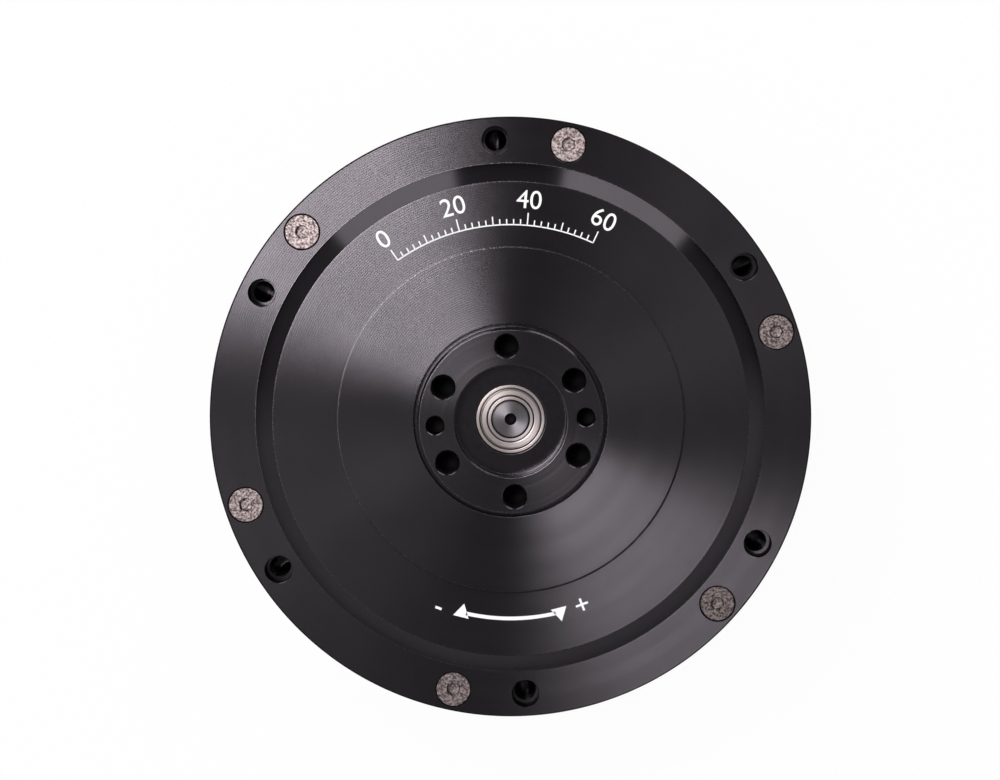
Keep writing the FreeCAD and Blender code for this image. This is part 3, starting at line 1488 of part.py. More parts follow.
def socket_face(half_width):
    """Distance of a socket's flat face from the axis, just behind the round outside of the cover."""
    return Formula(f"sqrt({body_r} ^ 2 - {half_width} ^ 2)") - size.socket_inset


def radial_bores(body, face, depth, bore_r, pitch, level):
    """Two round holes along the radius, in from a socket's face."""
    sketch = body.newObject("Sketcher::SketchObject", "contacts")
    sketch.AttachmentSupport = [(origin_feature(body, "YZ_Plane"), "")]
    sketch.MapMode = "FlatFace"
    sketch.setExpression("AttachmentOffset.Base.z", str(face - depth))
    centre = FreeCAD.Vector(pitch.value() / 2, level.value(), 0)
    sketch.addGeometry([
        Part.Circle(centre, FreeCAD.Vector(0, 0, 1), bore_r.value()),
        Part.Circle(FreeCAD.Vector(-centre.x, centre.y, 0), FreeCAD.Vector(0, 0, 1), bore_r.value()),
    ], False)
    hold(sketch, (0, 3), pitch / 2, level)
    sketch.addConstraint(Sketcher.Constraint("Symmetric", 0, 3, 1, 3, -2))
    sketch.addConstraint(Sketcher.Constraint("Equal", 0, 1))
    number = sketch.addConstraint(Sketcher.Constraint("Radius", 0, bore_r.value()))
    sketch.setExpression(f"Constraints[{number}]", str(bore_r))
    return sketch


def along_radius(body, kind, sketch, length):
    """Pad or pocket a sketch outwards along the radius."""
    feature = body.newObject(f"PartDesign::{kind}", "along")
    feature.Profile = sketch
    feature.setExpression("Length", str(length))
    if kind == "Pocket":
        feature.Reversed = True
    body.Tip = feature
    return feature


def make_power_socket():
    """Block with two round contacts, in the wall of the rear cover."""
    face = socket_face(size.power_width / 2)
    level = board_top + power_height / 2
    length = size.power_depth - size.contact_back
    block = new_body("power_socket")
    slab(block, "Pad", face - size.power_depth, face, size.power_width / 2, board_top, power_height)
    holes = radial_bores(block, face, length, size.contact_dia / 2, size.contact_pitch, level)
    along_radius(block, "Pocket", holes, length)
    contacts = new_body("power_contacts")
    sleeves = radial_bores(contacts, face, length, size.contact_dia / 2, size.contact_pitch, level)
    along_radius(contacts, "Pad", sleeves, length)
    bores = radial_bores(contacts, face, length, size.contact_bore / 2, size.contact_pitch, level)
    along_radius(contacts, "Pocket", bores, length)
    for body in (block, contacts):
        body.setExpression("Placement.Rotation.Angle", str(size.socket_turn))
    return [block, contacts]


def make_small_socket(label, turn):
    """Small signal socket: a box open at its face, on the board beside the power socket."""
    face = socket_face(size.small_width / 2)
    body = new_body(label)
    near = face - size.small_depth
    slab(body, "Pad", near, face, size.small_width / 2, board_top, size.small_height)
    wall = size.small_wall
    slab(
        body, "Pocket", near + wall * 2, face + wall, size.small_width / 2 - wall,
        board_top + wall, size.small_height - wall * 2,
    )
    body.setExpression("Placement.Rotation.Angle", str(turn))
    return body


standoff_turn = Formula("180") / size.standoff_count
roller_pairs = Formula(f"floor(pi * {pitch_r} / {size.roller_dia + size.roller_space})")
post_turn = Formula("60")
half_turn_of_windows = Formula("180") / size.window_count
screw_to_socket = (size.small_width + size.rear_screw_dia) / 2 + size.socket_screw_wall
lean_to_screw = Formula(f"asin({screw_to_socket / rear_screw_circle_r}) / (1 deg)")
socket_spread = Formula("180") / size.rear_screw_count - lean_to_screw
bus_turn = size.socket_turn + socket_spread
service_turn = size.socket_turn - socket_spread
socket_windows = (
    (size.power_width, power_height, size.socket_turn),
    (size.small_width, size.small_height, bus_turn),
    (size.small_width, size.small_height, service_turn),
)

nodes = [
    make_front_cover(),
    make_front_cover_screws(),
    make_main_housing(),
    make_cover_o_ring(),
    make_rear_cover(),
    make_rear_cover_screws(),
    make_stator_base(),
    make_stator_core(),
    make_stator_insulator("stator_insulator_rear", core_bottom - size.insulator, coil_bottom),
    make_stator_insulator("stator_insulator_front", core_top, core_top + size.insulator),
    make_stator_windings(),
    make_phase_leads(),
    make_rotor_bell(),
    make_rotor_magnets(),
    make_web_screws(),
    make_sun_shaft(),
    make_shaft_circlip(),
    *make_hub_bearings(),
    make_hub_bearing_seals(),
    make_bearing_spacer(),
    *make_nose_bearing(),
    *make_magnet_holder(),
    make_ring_gear(),
    make_ring_gear_pins(),
    *[make_planet_gear(number) for number in (1, 2, 3)],
    *[make_planet_bush(number) for number in (1, 2, 3)],
    make_planet_pins(),
    make_thrust_washers(),
    make_output_flange(),
    make_carrier_front_plate(),
    make_carrier_rear_plate(),
    *make_carrier_screws(),
    *make_main_bearing(),
    *make_bearing_clamp(),
    *make_board(),
    *make_board_parts(),
    *make_power_socket(),
    make_small_socket("bus_socket", bus_turn),
    make_small_socket("service_socket", service_turn),
]
doc.recompute()

faults = [item.Label for item in doc.Objects if {"Invalid", "Error"} & set(item.State)]
for node in nodes:
    if node.Shape.isNull() or not node.Shape.Solids or not node.Shape.isValid():
        faults.append(node.Label)
if faults:
    raise RuntimeError("these came out wrong: " + ", ".join(faults))

os.makedirs("parts", exist_ok=True)
for node in nodes:
    node.Shape.exportStep(f"parts/{node.Label}.step")
    print(f"{node.Label}: {len(node.Shape.Solids)} solids, {node.Shape.Volume:.0f} mm3")
print(f"{len(nodes)} nodes")
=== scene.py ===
"""Dressed model of a robot joint actuator: turned black casing, output flange, bearing, screws and sockets.

Sizes in the classes are millimetres, from the same levels and radii as the solids. Blender works in metres.
"""
from __future__ import annotations

import json
import logging
import math
from dataclasses import dataclass, field
from enum import Enum

import bmesh
import bpy
from mathutils import Matrix, Vector

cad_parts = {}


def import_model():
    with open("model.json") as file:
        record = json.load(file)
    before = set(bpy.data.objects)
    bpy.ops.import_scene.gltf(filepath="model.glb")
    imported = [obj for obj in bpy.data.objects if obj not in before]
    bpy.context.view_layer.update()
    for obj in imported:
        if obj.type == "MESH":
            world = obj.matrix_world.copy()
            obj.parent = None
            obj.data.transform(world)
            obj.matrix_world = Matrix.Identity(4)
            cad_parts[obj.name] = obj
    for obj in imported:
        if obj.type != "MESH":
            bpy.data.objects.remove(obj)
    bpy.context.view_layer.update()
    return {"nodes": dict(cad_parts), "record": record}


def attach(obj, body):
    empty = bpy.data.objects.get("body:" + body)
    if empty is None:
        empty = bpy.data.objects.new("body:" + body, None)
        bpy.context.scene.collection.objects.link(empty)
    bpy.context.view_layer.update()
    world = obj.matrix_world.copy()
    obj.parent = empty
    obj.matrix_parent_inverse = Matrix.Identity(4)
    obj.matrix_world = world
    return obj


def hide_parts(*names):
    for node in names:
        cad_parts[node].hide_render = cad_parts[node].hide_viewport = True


LOG = logging.getLogger("actuator")
MM = 0.001
FULL_TURN = 2 * math.pi
FINE_STEPS = 288
HOLE_STEPS = 48
SHARP_ANGLE = math.radians(32)
BEVEL_ANGLE = math.radians(22)
LEVEL_FACE = 0.9999
UPRIGHT_ENOUGH = 0.95
MERGE_DISTANCE = 1e-7
FLAT_PATCH = 0.9
# Slot 2 of the cover and the flange holds the near-black painted shade finish.
EDGE_SLOT = 1
SHADE_SLOT = 2
OTHER_SLOT = 3
AREA_WEIGHT = 90
WHITE = (1.0, 1.0, 1.0, 1.0)

Outline = list[tuple[float, float]]
Colour = tuple[float, float, float]
Point = tuple[float, float, float]
Shape = bmesh.types.BMesh
Piece = bpy.types.Object
Socket = bpy.types.NodeSocket

MATERIALS: dict[str, bpy.types.Material] = {}


class Body(str, Enum):
    """The moving bodies that a piece can ride on."""

    HOUSING = "housing"
    ROTOR = "rotor"
    OUTPUT = "output"


# Meshes


def around(count: int, first: float = 0.0) -> list[float]:
    """Evenly spaced angles in degrees, counted from the first."""
    return [first + 360.0 * number / count for number in range(count)]


def about_axis(angle: float) -> Matrix:
    """A turn about the Z axis by an angle in degrees."""
    return Matrix.Rotation(math.radians(angle), 4, "Z")


def spun(outline: Outline, steps: int = HOLE_STEPS, edge: float = 0.0) -> Shape:
    """A closed outline spun round the Z axis.

    Args:
        outline: (radius, height) corners in millimetres; two corners on the axis are left unjoined.
        steps: how many sides the round form gets.
        edge: rounding of its sharp edges in millimetres.

    Returns:
        The spun shape.
    """
    shape = bmesh.new()
    corners = [shape.verts.new((radius * MM, 0.0, height * MM)) for radius, height in outline]
    for near, far in zip(corners, corners[1:] + corners[:1]):
        if near.co.x > 0.0 or far.co.x > 0.0:
            shape.edges.new((near, far))
    bmesh.ops.spin(
        shape,
        geom=shape.verts[:] + shape.edges[:],
        cent=(0.0, 0.0, 0.0),
        axis=(0.0, 0.0, 1.0),
        angle=FULL_TURN,
        steps=steps,
        use_merge=True,
        use_duplicate=False,
    )
    bmesh.ops.remove_doubles(shape, verts=shape.verts, dist=MERGE_DISTANCE)
    bmesh.ops.dissolve_degenerate(shape, edges=shape.edges, dist=MERGE_DISTANCE)
    bmesh.ops.recalc_face_normals(shape, faces=shape.faces)
    if edge:
        round_edges(shape, edge)
    return shape


def round_edges(shape: Shape, width: float, segments: int = 2) -> None:
    """Round every sharp edge of a shape, and give the rounding the piece's second material.

    Args:
        shape: the shape, changed in place.
        width: width of the rounding in millimetres.
        segments: faces across the rounding.
    """
    pairs = [item for item in shape.edges if len(item.link_faces) == 2]
    sharp = [item for item in pairs if item.calc_face_angle(0.0) > BEVEL_ANGLE]
    for face in round_off(shape, sharp, width, segments):
        face.material_index = EDGE_SLOT


def round_off(shape: Shape, edges: list, width: float, segments: int) -> list:
    """Round some edges of a shape.

    Args:
        shape: the shape, changed in place.
        edges: the edges.
        width: width of the rounding in millimetres.
        segments: faces across the rounding.

    Returns:
        The new faces.
    """
    rounding = bmesh.ops.bevel(
        shape,
        geom=edges,
        offset=width * MM,
        offset_type="OFFSET",
        affect="EDGES",
        segments=segments,
        profile=0.5,
        clamp_overlap=True,
        material=-1,
    )
    return rounding["faces"]


def block(low: Point, high: Point, edge: float = 0.0) -> Shape:
    """A box with rounded edges.

    Args:
        low: its lowest corner in millimetres.
        high: its highest corner.
        edge: width of the rounding.

    Returns:
        The box.
    """
    shape = bmesh.new()
    bmesh.ops.create_cube(shape, size=1.0)
    bmesh.ops.scale(shape, vec=(Vector(high) - Vector(low)) * MM, verts=shape.verts)
    bmesh.ops.translate(shape, vec=(Vector(high) + Vector(low)) * MM / 2, verts=shape.verts)
    if edge:
        round_edges(shape, edge)
    return shape


def prism(sides: int, across: float, bottom: float, top: float, taper: float = 1.0) -> Shape:
    """An upright prism or cone on the Z axis.

    Args:
        sides: number of sides.
        across: distance across flats at the top in millimetres.
        bottom: lower level.
        top: upper level.
        taper: the bottom's width as a share of the top's.

    Returns:
        The prism.
    """
    corner = across / 2 / math.cos(math.pi / sides) * MM
    shape = bmesh.new()
    bmesh.ops.create_cone(
        shape,
        cap_ends=True,
        segments=sides,
        radius1=corner * taper,
        radius2=corner,
        depth=(top - bottom) * MM,
    )
    bmesh.ops.translate(shape, vec=(0.0, 0.0, (top + bottom) / 2 * MM), verts=shape.verts)
    return shape


def moved(shape: Shape, place: Matrix) -> Shape:
    """The same shape after a transform."""
    bmesh.ops.transform(shape, matrix=place, verts=shape.verts)
    return shape


def joined(*shapes: Shape) -> Shape:
    """Several shapes as one.

    Args:
        shapes: the shapes, freed afterwards.

    Returns:
        The whole.
    """
    whole = bmesh.new()
    for shape in shapes:
        mesh = bpy.data.meshes.new("passing")
        shape.to_mesh(mesh)
        shape.free()
        whole.from_mesh(mesh)
        bpy.data.meshes.remove(mesh)
    return whole


def on_circle(shape: Shape, radius: float, angles: list[float], spins: list[float] | None = None) -> Shape:
    """Copies of a shape on a circle round the Z axis, each turned with its place.

    Args:
        shape: the shape on the Z axis, freed afterwards.
        radius: radius of the circle in millimetres.
        angles: where the copies stand, in degrees.
        spins: how far each copy is turned about itself, in degrees.

    Returns:
        All the copies as one shape.
    """
    pattern = bpy.data.meshes.new("pattern")
    shape.to_mesh(pattern)
    shape.free()
    whole = bmesh.new()
    for number, angle in enumerate(angles):
        first = len(whole.verts)
        whole.from_mesh(pattern)
        whole.verts.ensure_lookup_table()
        spin = spins[number % len(spins)] if spins else 0.0
        place = about_axis(angle) @ Matrix.Translation((radius * MM, 0.0, 0.0)) @ about_axis(spin)
        bmesh.ops.transform(whole, matrix=place, verts=whole.verts[first:])
    bpy.data.meshes.remove(pattern)
    return whole


def tapped_outline(bore: float, crest: float, pitch: float, bottom: float, top: float) -> Outline:
    """Lower part of a tapped hole's outline, with its grooves as a stack of rings.

    Args:
        bore: radius of the hole before its thread.
        crest: radius at the bottom of the grooves.
        pitch: height of one groove.
        bottom: lower level of the thread.
        top: upper level of the thread.

    Returns:
        The (radius, height) corners from the axis up to the last groove.
    """
    corners: Outline = [(0.0, bottom - bore / 2), (bore, bottom)]
    level = bottom
    while level + pitch <= top:
        corners += [(bore, level + pitch * 0.12), (crest, level + pitch * 0.5), (bore, level + pitch * 0.88)]
        level += pitch
    return corners


def put(name: str, data: bpy.types.ID) -> Piece:
    """Put something into the scene.

    Args:
        name: the object's name.
        data: the mesh, text, lamp or camera that it carries.

    Returns:
        The object.
    """
    item = bpy.data.objects.new(name, data)
    bpy.context.scene.collection.objects.link(item)
    return item


def make_piece(name: str, shape: Shape, *finishes: str) -> Piece:
    """Put a shape into the scene as an object at the origin.

    Args:
        name: the object's name.
        shape: its shape, freed afterwards.
        finishes: its finish, then that of its edges, and any others.

    Returns:
        The object.
    """
    mesh = bpy.data.meshes.new(name)
    shape.to_mesh(mesh)
    shape.free()
    piece = put(name, mesh)
    for finish in finishes:
        mesh.materials.append(MATERIALS[finish])
    if len(finishes) == 1:
        mesh.polygons.foreach_set("material_index", [0] * len(mesh.polygons))
    shade(piece)
    return piece


def shade(piece: Piece) -> None:
    """Smooth shading with sharp edges kept, and level faces left flat.

    Args:
        piece: the piece, changed in place.
    """
    mesh = piece.data
    mesh.polygons.foreach_set("use_smooth", [abs(face.normal.z) < LEVEL_FACE for face in mesh.polygons])
    mesh.set_sharp_from_angle(angle=SHARP_ANGLE)


def settle(piece: Piece) -> None:
    """Apply a piece's modifiers.

    Args:
        piece: the piece, changed in place.
    """
    graph = bpy.context.evaluated_depsgraph_get()
    result = bpy.data.meshes.new_from_object(piece.evaluated_get(graph))
    piece.modifiers.clear()
    old = piece.data
    name = old.name
    piece.data = result
    bpy.data.meshes.remove(old)
    result.name = name


def weigh_normals(piece: Piece) -> None:
    """Keep big faces evenly shaded up to their rounded edges.

    Args:
        piece: the piece, changed in place.
    """
    weighing = piece.modifiers.new("weighing", "WEIGHTED_NORMAL")
    weighing.mode = "FACE_AREA"
    weighing.weight = AREA_WEIGHT
    weighing.keep_sharp = True
    settle(piece)
    level_normals(piece.data)


def level_normals(mesh: bpy.types.Mesh) -> None:
    """Give the corners of level faces, and of the roundings that run into them, an upright normal.

    Args:
        mesh: the mesh, changed in place.
    """
    normals = [corner.vector.copy() for corner in mesh.corner_normals]
    upright: dict[int, Vector] = {}
    for face in mesh.polygons:
        if abs(face.normal.z) > LEVEL_FACE:
            for vertex in face.vertices:
                upright[vertex] = face.normal.copy()
    for corner in mesh.loops:
        level = upright.get(corner.vertex_index)
        if level is not None and normals[corner.index].dot(level) > UPRIGHT_ENOUGH:
            normals[corner.index] = level
    mesh.normals_split_custom_set(normals)


def carve(piece: Piece, tool: Shape, mouth: float | None = None, inside: int = 0) -> None:
    """Cut a tool's shape out of a piece.

    Args:
        piece: the piece, changed in place.
        tool: what is cut away, freed afterwards.
        mouth: level in millimetres above which sloping faces are edges and get the edges' finish.
        inside: number of the material that the other new faces get.
    """
    bmesh.ops.recalc_face_normals(tool, faces=tool.faces)
    for face in tool.faces:
        high = mouth is not None and face.calc_center_median().z > mouth * MM
        face.material_index = EDGE_SLOT if high and abs(face.normal.z) < FLAT_PATCH else inside
    cutter = make_piece("cutter", tool)
    for material in piece.data.materials:
        cutter.data.materials.append(material)
    carving = piece.modifiers.new("carving", "BOOLEAN")
    carving.operation = "DIFFERENCE"
    carving.solver = "EXACT"
    carving.object = cutter
    settle(piece)
    cutter_mesh = cutter.data
    bpy.data.objects.remove(cutter)
    bpy.data.meshes.remove(cutter_mesh)
    shade(piece)


def taken(piece: Piece) -> Shape:
    """Take a piece's shape back.

    Args:
        piece: the piece, removed from the scene.

    Returns:
        Its shape.
    """
    shape = bmesh.new()
    shape.from_mesh(piece.data)
    bpy.data.objects.remove(piece)
    return shape


def place_piece(piece: Piece, body: Body, slot: str, *nodes: str) -> None:
    """Let a finished piece ride on its body and stand for its nodes.

    Args:
        piece: the finished piece.
        body: the body that carries it.
        slot: the record's material slot it belongs to; not used.
        nodes: the nodes it stands for.
    """
    weigh_normals(piece)
    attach(piece, body.value)
    if nodes:
        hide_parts(*nodes)
    LOG.info("%s rides on %s", piece.name, body.value)


# Finishes


class Wiring:
    """The nodes of one tree, with short calls for making and joining them."""

    def __init__(self, tree: bpy.types.NodeTree) -> None:
        """Take up a tree."""
        self.tree = tree

    def join(self, value: object, socket: Socket) -> None:
        """Link a socket, or set a constant, on an input.

        Args:
            value: the socket or the constant.
            socket: the input.
        """
        if isinstance(value, Socket):
            self.tree.links.new(value, socket)
        else:
            socket.default_value = value

    def node(
        self, kind: str, inputs: dict[str | int, object] | None = None, **settings: object
    ) -> bpy.types.Node:
        """Make a node.

        Args:
            kind: its type, without the word ShaderNode.
            inputs: what goes into its inputs, by their names or numbers.
            settings: its own settings.

        Returns:
            The node.
        """
        node = self.tree.nodes.new(f"ShaderNode{kind}")
        for name, value in settings.items():
            setattr(node, name, value)
        for name, value in (inputs or {}).items():
            self.join(value, node.inputs[name])
        return node

    def maths(self, operation: str, *values: object) -> Socket:
        """The result of one sum on numbers."""
        return self.node("Math", dict(enumerate(values)), operation=operation).outputs[0]

    def vector(self, operation: str, *values: object) -> Socket:
        """The result of one sum on vectors."""
        node = self.node("VectorMath", dict(enumerate(values)), operation=operation)
        return node.outputs["Value" if operation == "LENGTH" else "Vector"]

    def between(
        self, factor: object, low: object, high: object, start: float = 0.0, end: float = 1.0, **settings: str
    ) -> Socket:
        """Map a factor from start..end to low..high."""
        ranges = {"Value": factor, "From Min": start, "From Max": end, "To Min": low, "To Max": high}
        return self.node("MapRange", ranges, **settings).outputs["Result"]


class Recipe(Wiring):
    """One material's nodes round its Principled shader."""

    def __init__(self, name: str) -> None:
        """Start a material with a plain Principled shader.

        Args:
            name: the material's name.
        """
        self.material = bpy.data.materials.new(name)
        self.material.use_nodes = True
        super().__init__(self.material.node_tree)
        self.shader = self.tree.nodes["Principled BSDF"]
        self.coords = self.node("TexCoord").outputs["Object"]

    def set(self, **inputs: object) -> None:
        """Set the shader's own inputs, with underscores for spaces in their names."""
        for name, value in inputs.items():
            self.join(value, self.shader.inputs[name.replace("_", " ").title().replace("Ior", "IOR")])

    def noise(self, scale: float, detail: float = 2.0) -> Socket:
        """Soft noise between 0 and 1; scale is in features per metre."""
        return self.node("TexNoise", {"Vector": self.coords, "Scale": scale, "Detail": detail}).outputs["Fac"]

    def noise_along(self, where: object, scale: float, detail: float) -> Socket:
        """Noise that changes with one number only."""
        inputs = {"W": where, "Scale": scale, "Detail": detail}
        return self.node("TexNoise", inputs, noise_dimensions="1D").outputs["Fac"]

    def wave(self, travel: object, pitch: float) -> Socket:
        """A sine along a length, with its pitch in millimetres."""
        return self.maths("SINE", self.maths("MULTIPLY", travel, FULL_TURN / (pitch * MM)))

    def uneven(self, factor: object, middle: float, spread: float) -> Socket:
        """A roughness that wanders about its middle with a soft noise."""
        return self.between(factor, middle - spread, middle + spread, 0.3, 0.7)

    def blend(self, factor: object, first: Colour, second: Colour) -> Socket:
        """A mix of two colours."""
        return self.node("Mix", {0: factor, 6: (*first, 1.0), 7: (*second, 1.0)}, data_type="RGBA").outputs[2]

    def relief(self, height: object, depth: float) -> None:
        """Bump from a height between 0 and 1; depth is in millimetres."""
        bump = self.node("Bump", {"Strength": 1.0, "Distance": depth * MM, "Height": height})
        self.join(bump.outputs["Normal"], self.shader.inputs["Normal"])

    def rounds(self) -> tuple[Socket, Socket, Socket]:
        """How a point lies about the axis.

        Returns:
            The level vector from the axis, its length, and the height.
        """
        apart = self.node("SeparateXYZ", {0: self.coords}).outputs
        flat = self.node("CombineXYZ", {"X": apart["X"], "Y": apart["Y"]}).outputs[0]
        return flat, self.vector("LENGTH", flat), apart["Z"]


@dataclass(frozen=True)
class TurnedFinish:
    """Metal off a lathe: fine rings, and a sheen that spreads across them."""

    colour: Colour
    worn_colour: Colour
    roughness: float
    anisotropy: float = 0.9
    pitch: float = 0.36
    depth: float = 0.0012
    unevenness: float = 0.02

    def make(self, name: str) -> bpy.types.Material:
        """The finish as a material.

        Args:
            name: the material's name.

        Returns:
            The material.
        """
        recipe = Recipe(name)
        flat, radius, level = recipe.rounds()
        along = recipe.vector("CROSS_PRODUCT", (0.0, 0.0, 1.0), flat)
        turn = recipe.node(
            "VectorTransform", {0: along}, vector_type="VECTOR", convert_from="OBJECT", convert_to="WORLD"
        )
        normal = recipe.node("NewGeometry").outputs["Normal"]
        across = recipe.vector("NORMALIZE", recipe.vector("CROSS_PRODUCT", turn.outputs[0], normal))
        travel = recipe.maths("ADD", radius, level)
        feed = recipe.wave(travel, self.pitch)
        scratches = recipe.noise_along(travel, 2200.0, 3.0)
        bands = recipe.noise_along(travel, 420.0, 2.0)
        recipe.relief(recipe.maths("MULTIPLY_ADD", feed, 0.5, scratches), self.depth)
        spread = recipe.maths("MULTIPLY_ADD", bands, 0.6, recipe.maths("MULTIPLY", scratches, 0.4))
        lines = recipe.maths("MULTIPLY_ADD", feed, 0.42, recipe.noise(90.0, 3.0))
        recipe.set(
            base_color=recipe.blend(recipe.between(lines, 0.0, 1.0), self.colour, self.worn_colour),
            metallic=1.0,
            roughness=recipe.uneven(spread, self.roughness, self.unevenness),
            anisotropic=self.anisotropy,
            tangent=across,
        )
        return recipe.material


@dataclass(frozen=True)
class MottledFinish:
    """A material whose colour and gloss wander a little: plastic, rubber, blackened or plated steel."""

    colour: Colour
    second_colour: Colour
    roughness: float
    metallic: float = 0.0
    grain: float = 1500.0
    depth: float = 0.01
    unevenness: float = 0.08
    contrast: float = 0.2
    gloss: float = 0.5

    def make(self, name: str) -> bpy.types.Material:
        """The finish as a material.

        Args:
            name: the material's name.

        Returns:
            The material.
        """
        recipe = Recipe(name)
        coarse = recipe.noise(self.grain * 0.35, 3.0)
        fine = recipe.noise(self.grain, 4.0)
        factor = recipe.between(coarse, 0.0, 1.0, 0.5 - self.contrast, 0.5 + self.contrast)
        recipe.set(
            base_color=recipe.blend(factor, self.colour, self.second_colour),
            metallic=self.metallic,
            roughness=recipe.uneven(fine, self.roughness, self.unevenness),
            specular_ior_level=self.gloss,
        )
        recipe.relief(fine, self.depth)
        return recipe.material


class Ways(Enum):
    """Which coordinate a striped finish follows."""

    LEVEL = "Z"
    RADIUS = "R"


@dataclass(frozen=True)
class StripedFinish:
    """Stripes at an even pitch: stacked sheets, or wire laid turn on turn."""

    colour: Colour
    groove_colour: Colour
    pitch: float
    way: Ways
    roughness: float

    def make(self, name: str) -> bpy.types.Material:
        """The finish as a material.

        Args:
            name: the material's name.

        Returns:
            The material.
        """
        recipe = Recipe(name)
        _, radius, level = recipe.rounds()
        wave = recipe.wave(level if self.way is Ways.LEVEL else radius, self.pitch)
        height = recipe.between(wave, 0.0, 1.0, -1.0, 1.0)
        recipe.set(
            # Darker towards the grooves: the joints between stacked sheets, and painted shade between the
            # wire's turns.
            base_color=recipe.blend(recipe.maths("POWER", height, 0.5), self.groove_colour, self.colour),
            metallic=1.0,
            roughness=recipe.uneven(recipe.noise(600.0), self.roughness, 0.06),
        )
        recipe.relief(height, 0.05)
        return recipe.material


@dataclass(frozen=True)
class BoardFinish:
    """Solder mask over copper tracks."""

    colour: Colour = (0.006, 0.045, 0.02)
    track_colour: Colour = (0.016, 0.1, 0.04)

    def make(self, name: str) -> bpy.types.Material:
        """The finish as a material.

        Args:
            name: the material's name.

        Returns:
            The material.
        """
        recipe = Recipe(name)
        cells = recipe.node(
            "TexVoronoi", {"Scale": 260.0, "Vector": recipe.coords}, feature="DISTANCE_TO_EDGE"
        )
        track = recipe.between(cells.outputs["Distance"], 1.0, 0.0, 0.05, 0.09)
        recipe.set(
            base_color=recipe.blend(track, self.colour, self.track_colour),
            roughness=recipe.uneven(recipe.noise(800.0), 0.34, 0.06),
        )
        recipe.relief(track, 0.03)
        return recipe.material


ANODISED = TurnedFinish((0.066, 0.06, 0.067), (0.1, 0.09, 0.1), 0.24, anisotropy=1.0, depth=0.003)
BEVEL = TurnedFinish((0.056, 0.051, 0.057), (0.076, 0.069, 0.076), 0.2, anisotropy=0.9, depth=0.001)
SATIN = TurnedFinish(
    (0.072, 0.065, 0.073), (0.09, 0.081, 0.09), 0.19, anisotropy=0.8, pitch=0.22, depth=0.001
)
EDGE = MottledFinish((0.115, 0.105, 0.115), (0.095, 0.087, 0.095), 0.24, 1.0, grain=3000.0, depth=0.002)
RECESS = MottledFinish(
    (0.09, 0.08, 0.09), (0.078, 0.07, 0.078), 0.14, 1.0, grain=2500.0, depth=0.001, unevenness=0.02
)
SHAFT = TurnedFinish((0.19, 0.175, 0.19), (0.2, 0.185, 0.2), 0.38, anisotropy=0.8, pitch=0.15)
# Painted shade: a near-black finish for bore walls, gaps and dark edges, where only shade falls.
PAINTED_SHADE = MottledFinish((0.004, 0.0037, 0.0035), (0.006, 0.0053, 0.005), 0.6, gloss=0.08)
FINISHES = {
    "black_anodised": ANODISED,
    "black_satin": SATIN,
    "plain_aluminium": TurnedFinish((0.5, 0.5, 0.51), (0.6, 0.6, 0.61), 0.34, anisotropy=0.8),
    "screw_steel": MottledFinish(
        (0.38, 0.31, 0.305), (0.065, 0.05, 0.049), 0.33, 1.0, grain=8000.0, depth=0.03, contrast=0.12
    ),
    "bright_steel": TurnedFinish((0.56, 0.49, 0.48), (0.45, 0.39, 0.39), 0.3, anisotropy=0.5, pitch=0.12),
    "gear_steel": MottledFinish((0.45, 0.45, 0.46), (0.38, 0.38, 0.39), 0.32, 1.0),
    "screw_zinc": MottledFinish((0.55, 0.55, 0.53), (0.45, 0.46, 0.46), 0.35, 1.0, grain=2200.0),
    "lamination": StripedFinish((0.33, 0.34, 0.36), (0.12, 0.12, 0.13), 0.35, Ways.LEVEL, 0.42),
    "magnet": MottledFinish((0.58, 0.58, 0.59), (0.5, 0.5, 0.5), 0.25, 1.0, grain=900.0),
    "copper": StripedFinish((0.72, 0.33, 0.13), (0.3, 0.1, 0.04), 0.55, Ways.RADIUS, 0.3),
    "contact_gold": MottledFinish((0.86, 0.63, 0.25), (0.78, 0.55, 0.2), 0.22, 1.0),
    "bush_brass": MottledFinish((0.7, 0.53, 0.26), (0.6, 0.44, 0.2), 0.34, 1.0),
    "insulator_plastic": MottledFinish((0.05, 0.15, 0.11), (0.04, 0.12, 0.09), 0.48),
    "seal_rubber": MottledFinish((0.022, 0.022, 0.023), (0.03, 0.03, 0.03), 0.62, depth=0.02),
    "board_green": BoardFinish(),
    "pad_grey": MottledFinish((0.42, 0.44, 0.47), (0.38, 0.4, 0.43), 0.7),
    "chip_black": MottledFinish((0.02, 0.02, 0.021), (0.028, 0.028, 0.028), 0.5, grain=4000.0),
    "capacitor_can": MottledFinish((0.7, 0.7, 0.71), (0.62, 0.62, 0.63), 0.3, 1.0),
    "socket_yellow": MottledFinish((0.78, 0.5, 0.03), (0.7, 0.43, 0.02), 0.42, grain=2500.0),
    "socket_white": MottledFinish((0.8, 0.77, 0.69), (0.74, 0.71, 0.63), 0.45, grain=2500.0),
}
INK = MottledFinish((0.95, 0.95, 0.95), (0.9, 0.9, 0.9), 0.5, grain=5000.0, depth=0.004)
SPECIAL_NODES = {"sun_shaft": "shaft_steel"}
EXTRA_FINISHES = {
    "white_ink": INK,
    "anodised_edge": EDGE,
    "bevel_sheen": BEVEL,
    "recess_floor": RECESS,
    "shaft_steel": SHAFT,
    "painted_shade_black": PAINTED_SHADE,
}


def dress_nodes(frame: dict) -> None:
    """Make each slot's material and give it to the nodes of that slot.
    """
    for name, finish in (FINISHES | EXTRA_FINISHES).items():
        MATERIALS[name] = finish.make(name)
    for part in frame["record"]["subparts"]:
        target = frame["nodes"][part["node"]]
        if not target.material_slots:
            target.data.materials.append(None)
        for holder in target.material_slots:
            holder.material = MATERIALS[SPECIAL_NODES.get(part["node"], part["material_slot"])]


# Sub-assemblies

SOCKET_SIDE = 270.0
BORE_ANGLES = around(6, 30.0)
SCREW_ANGLES = around(6, 15.0)
CASING_FINISHES = ("black_anodised", "anodised_edge")


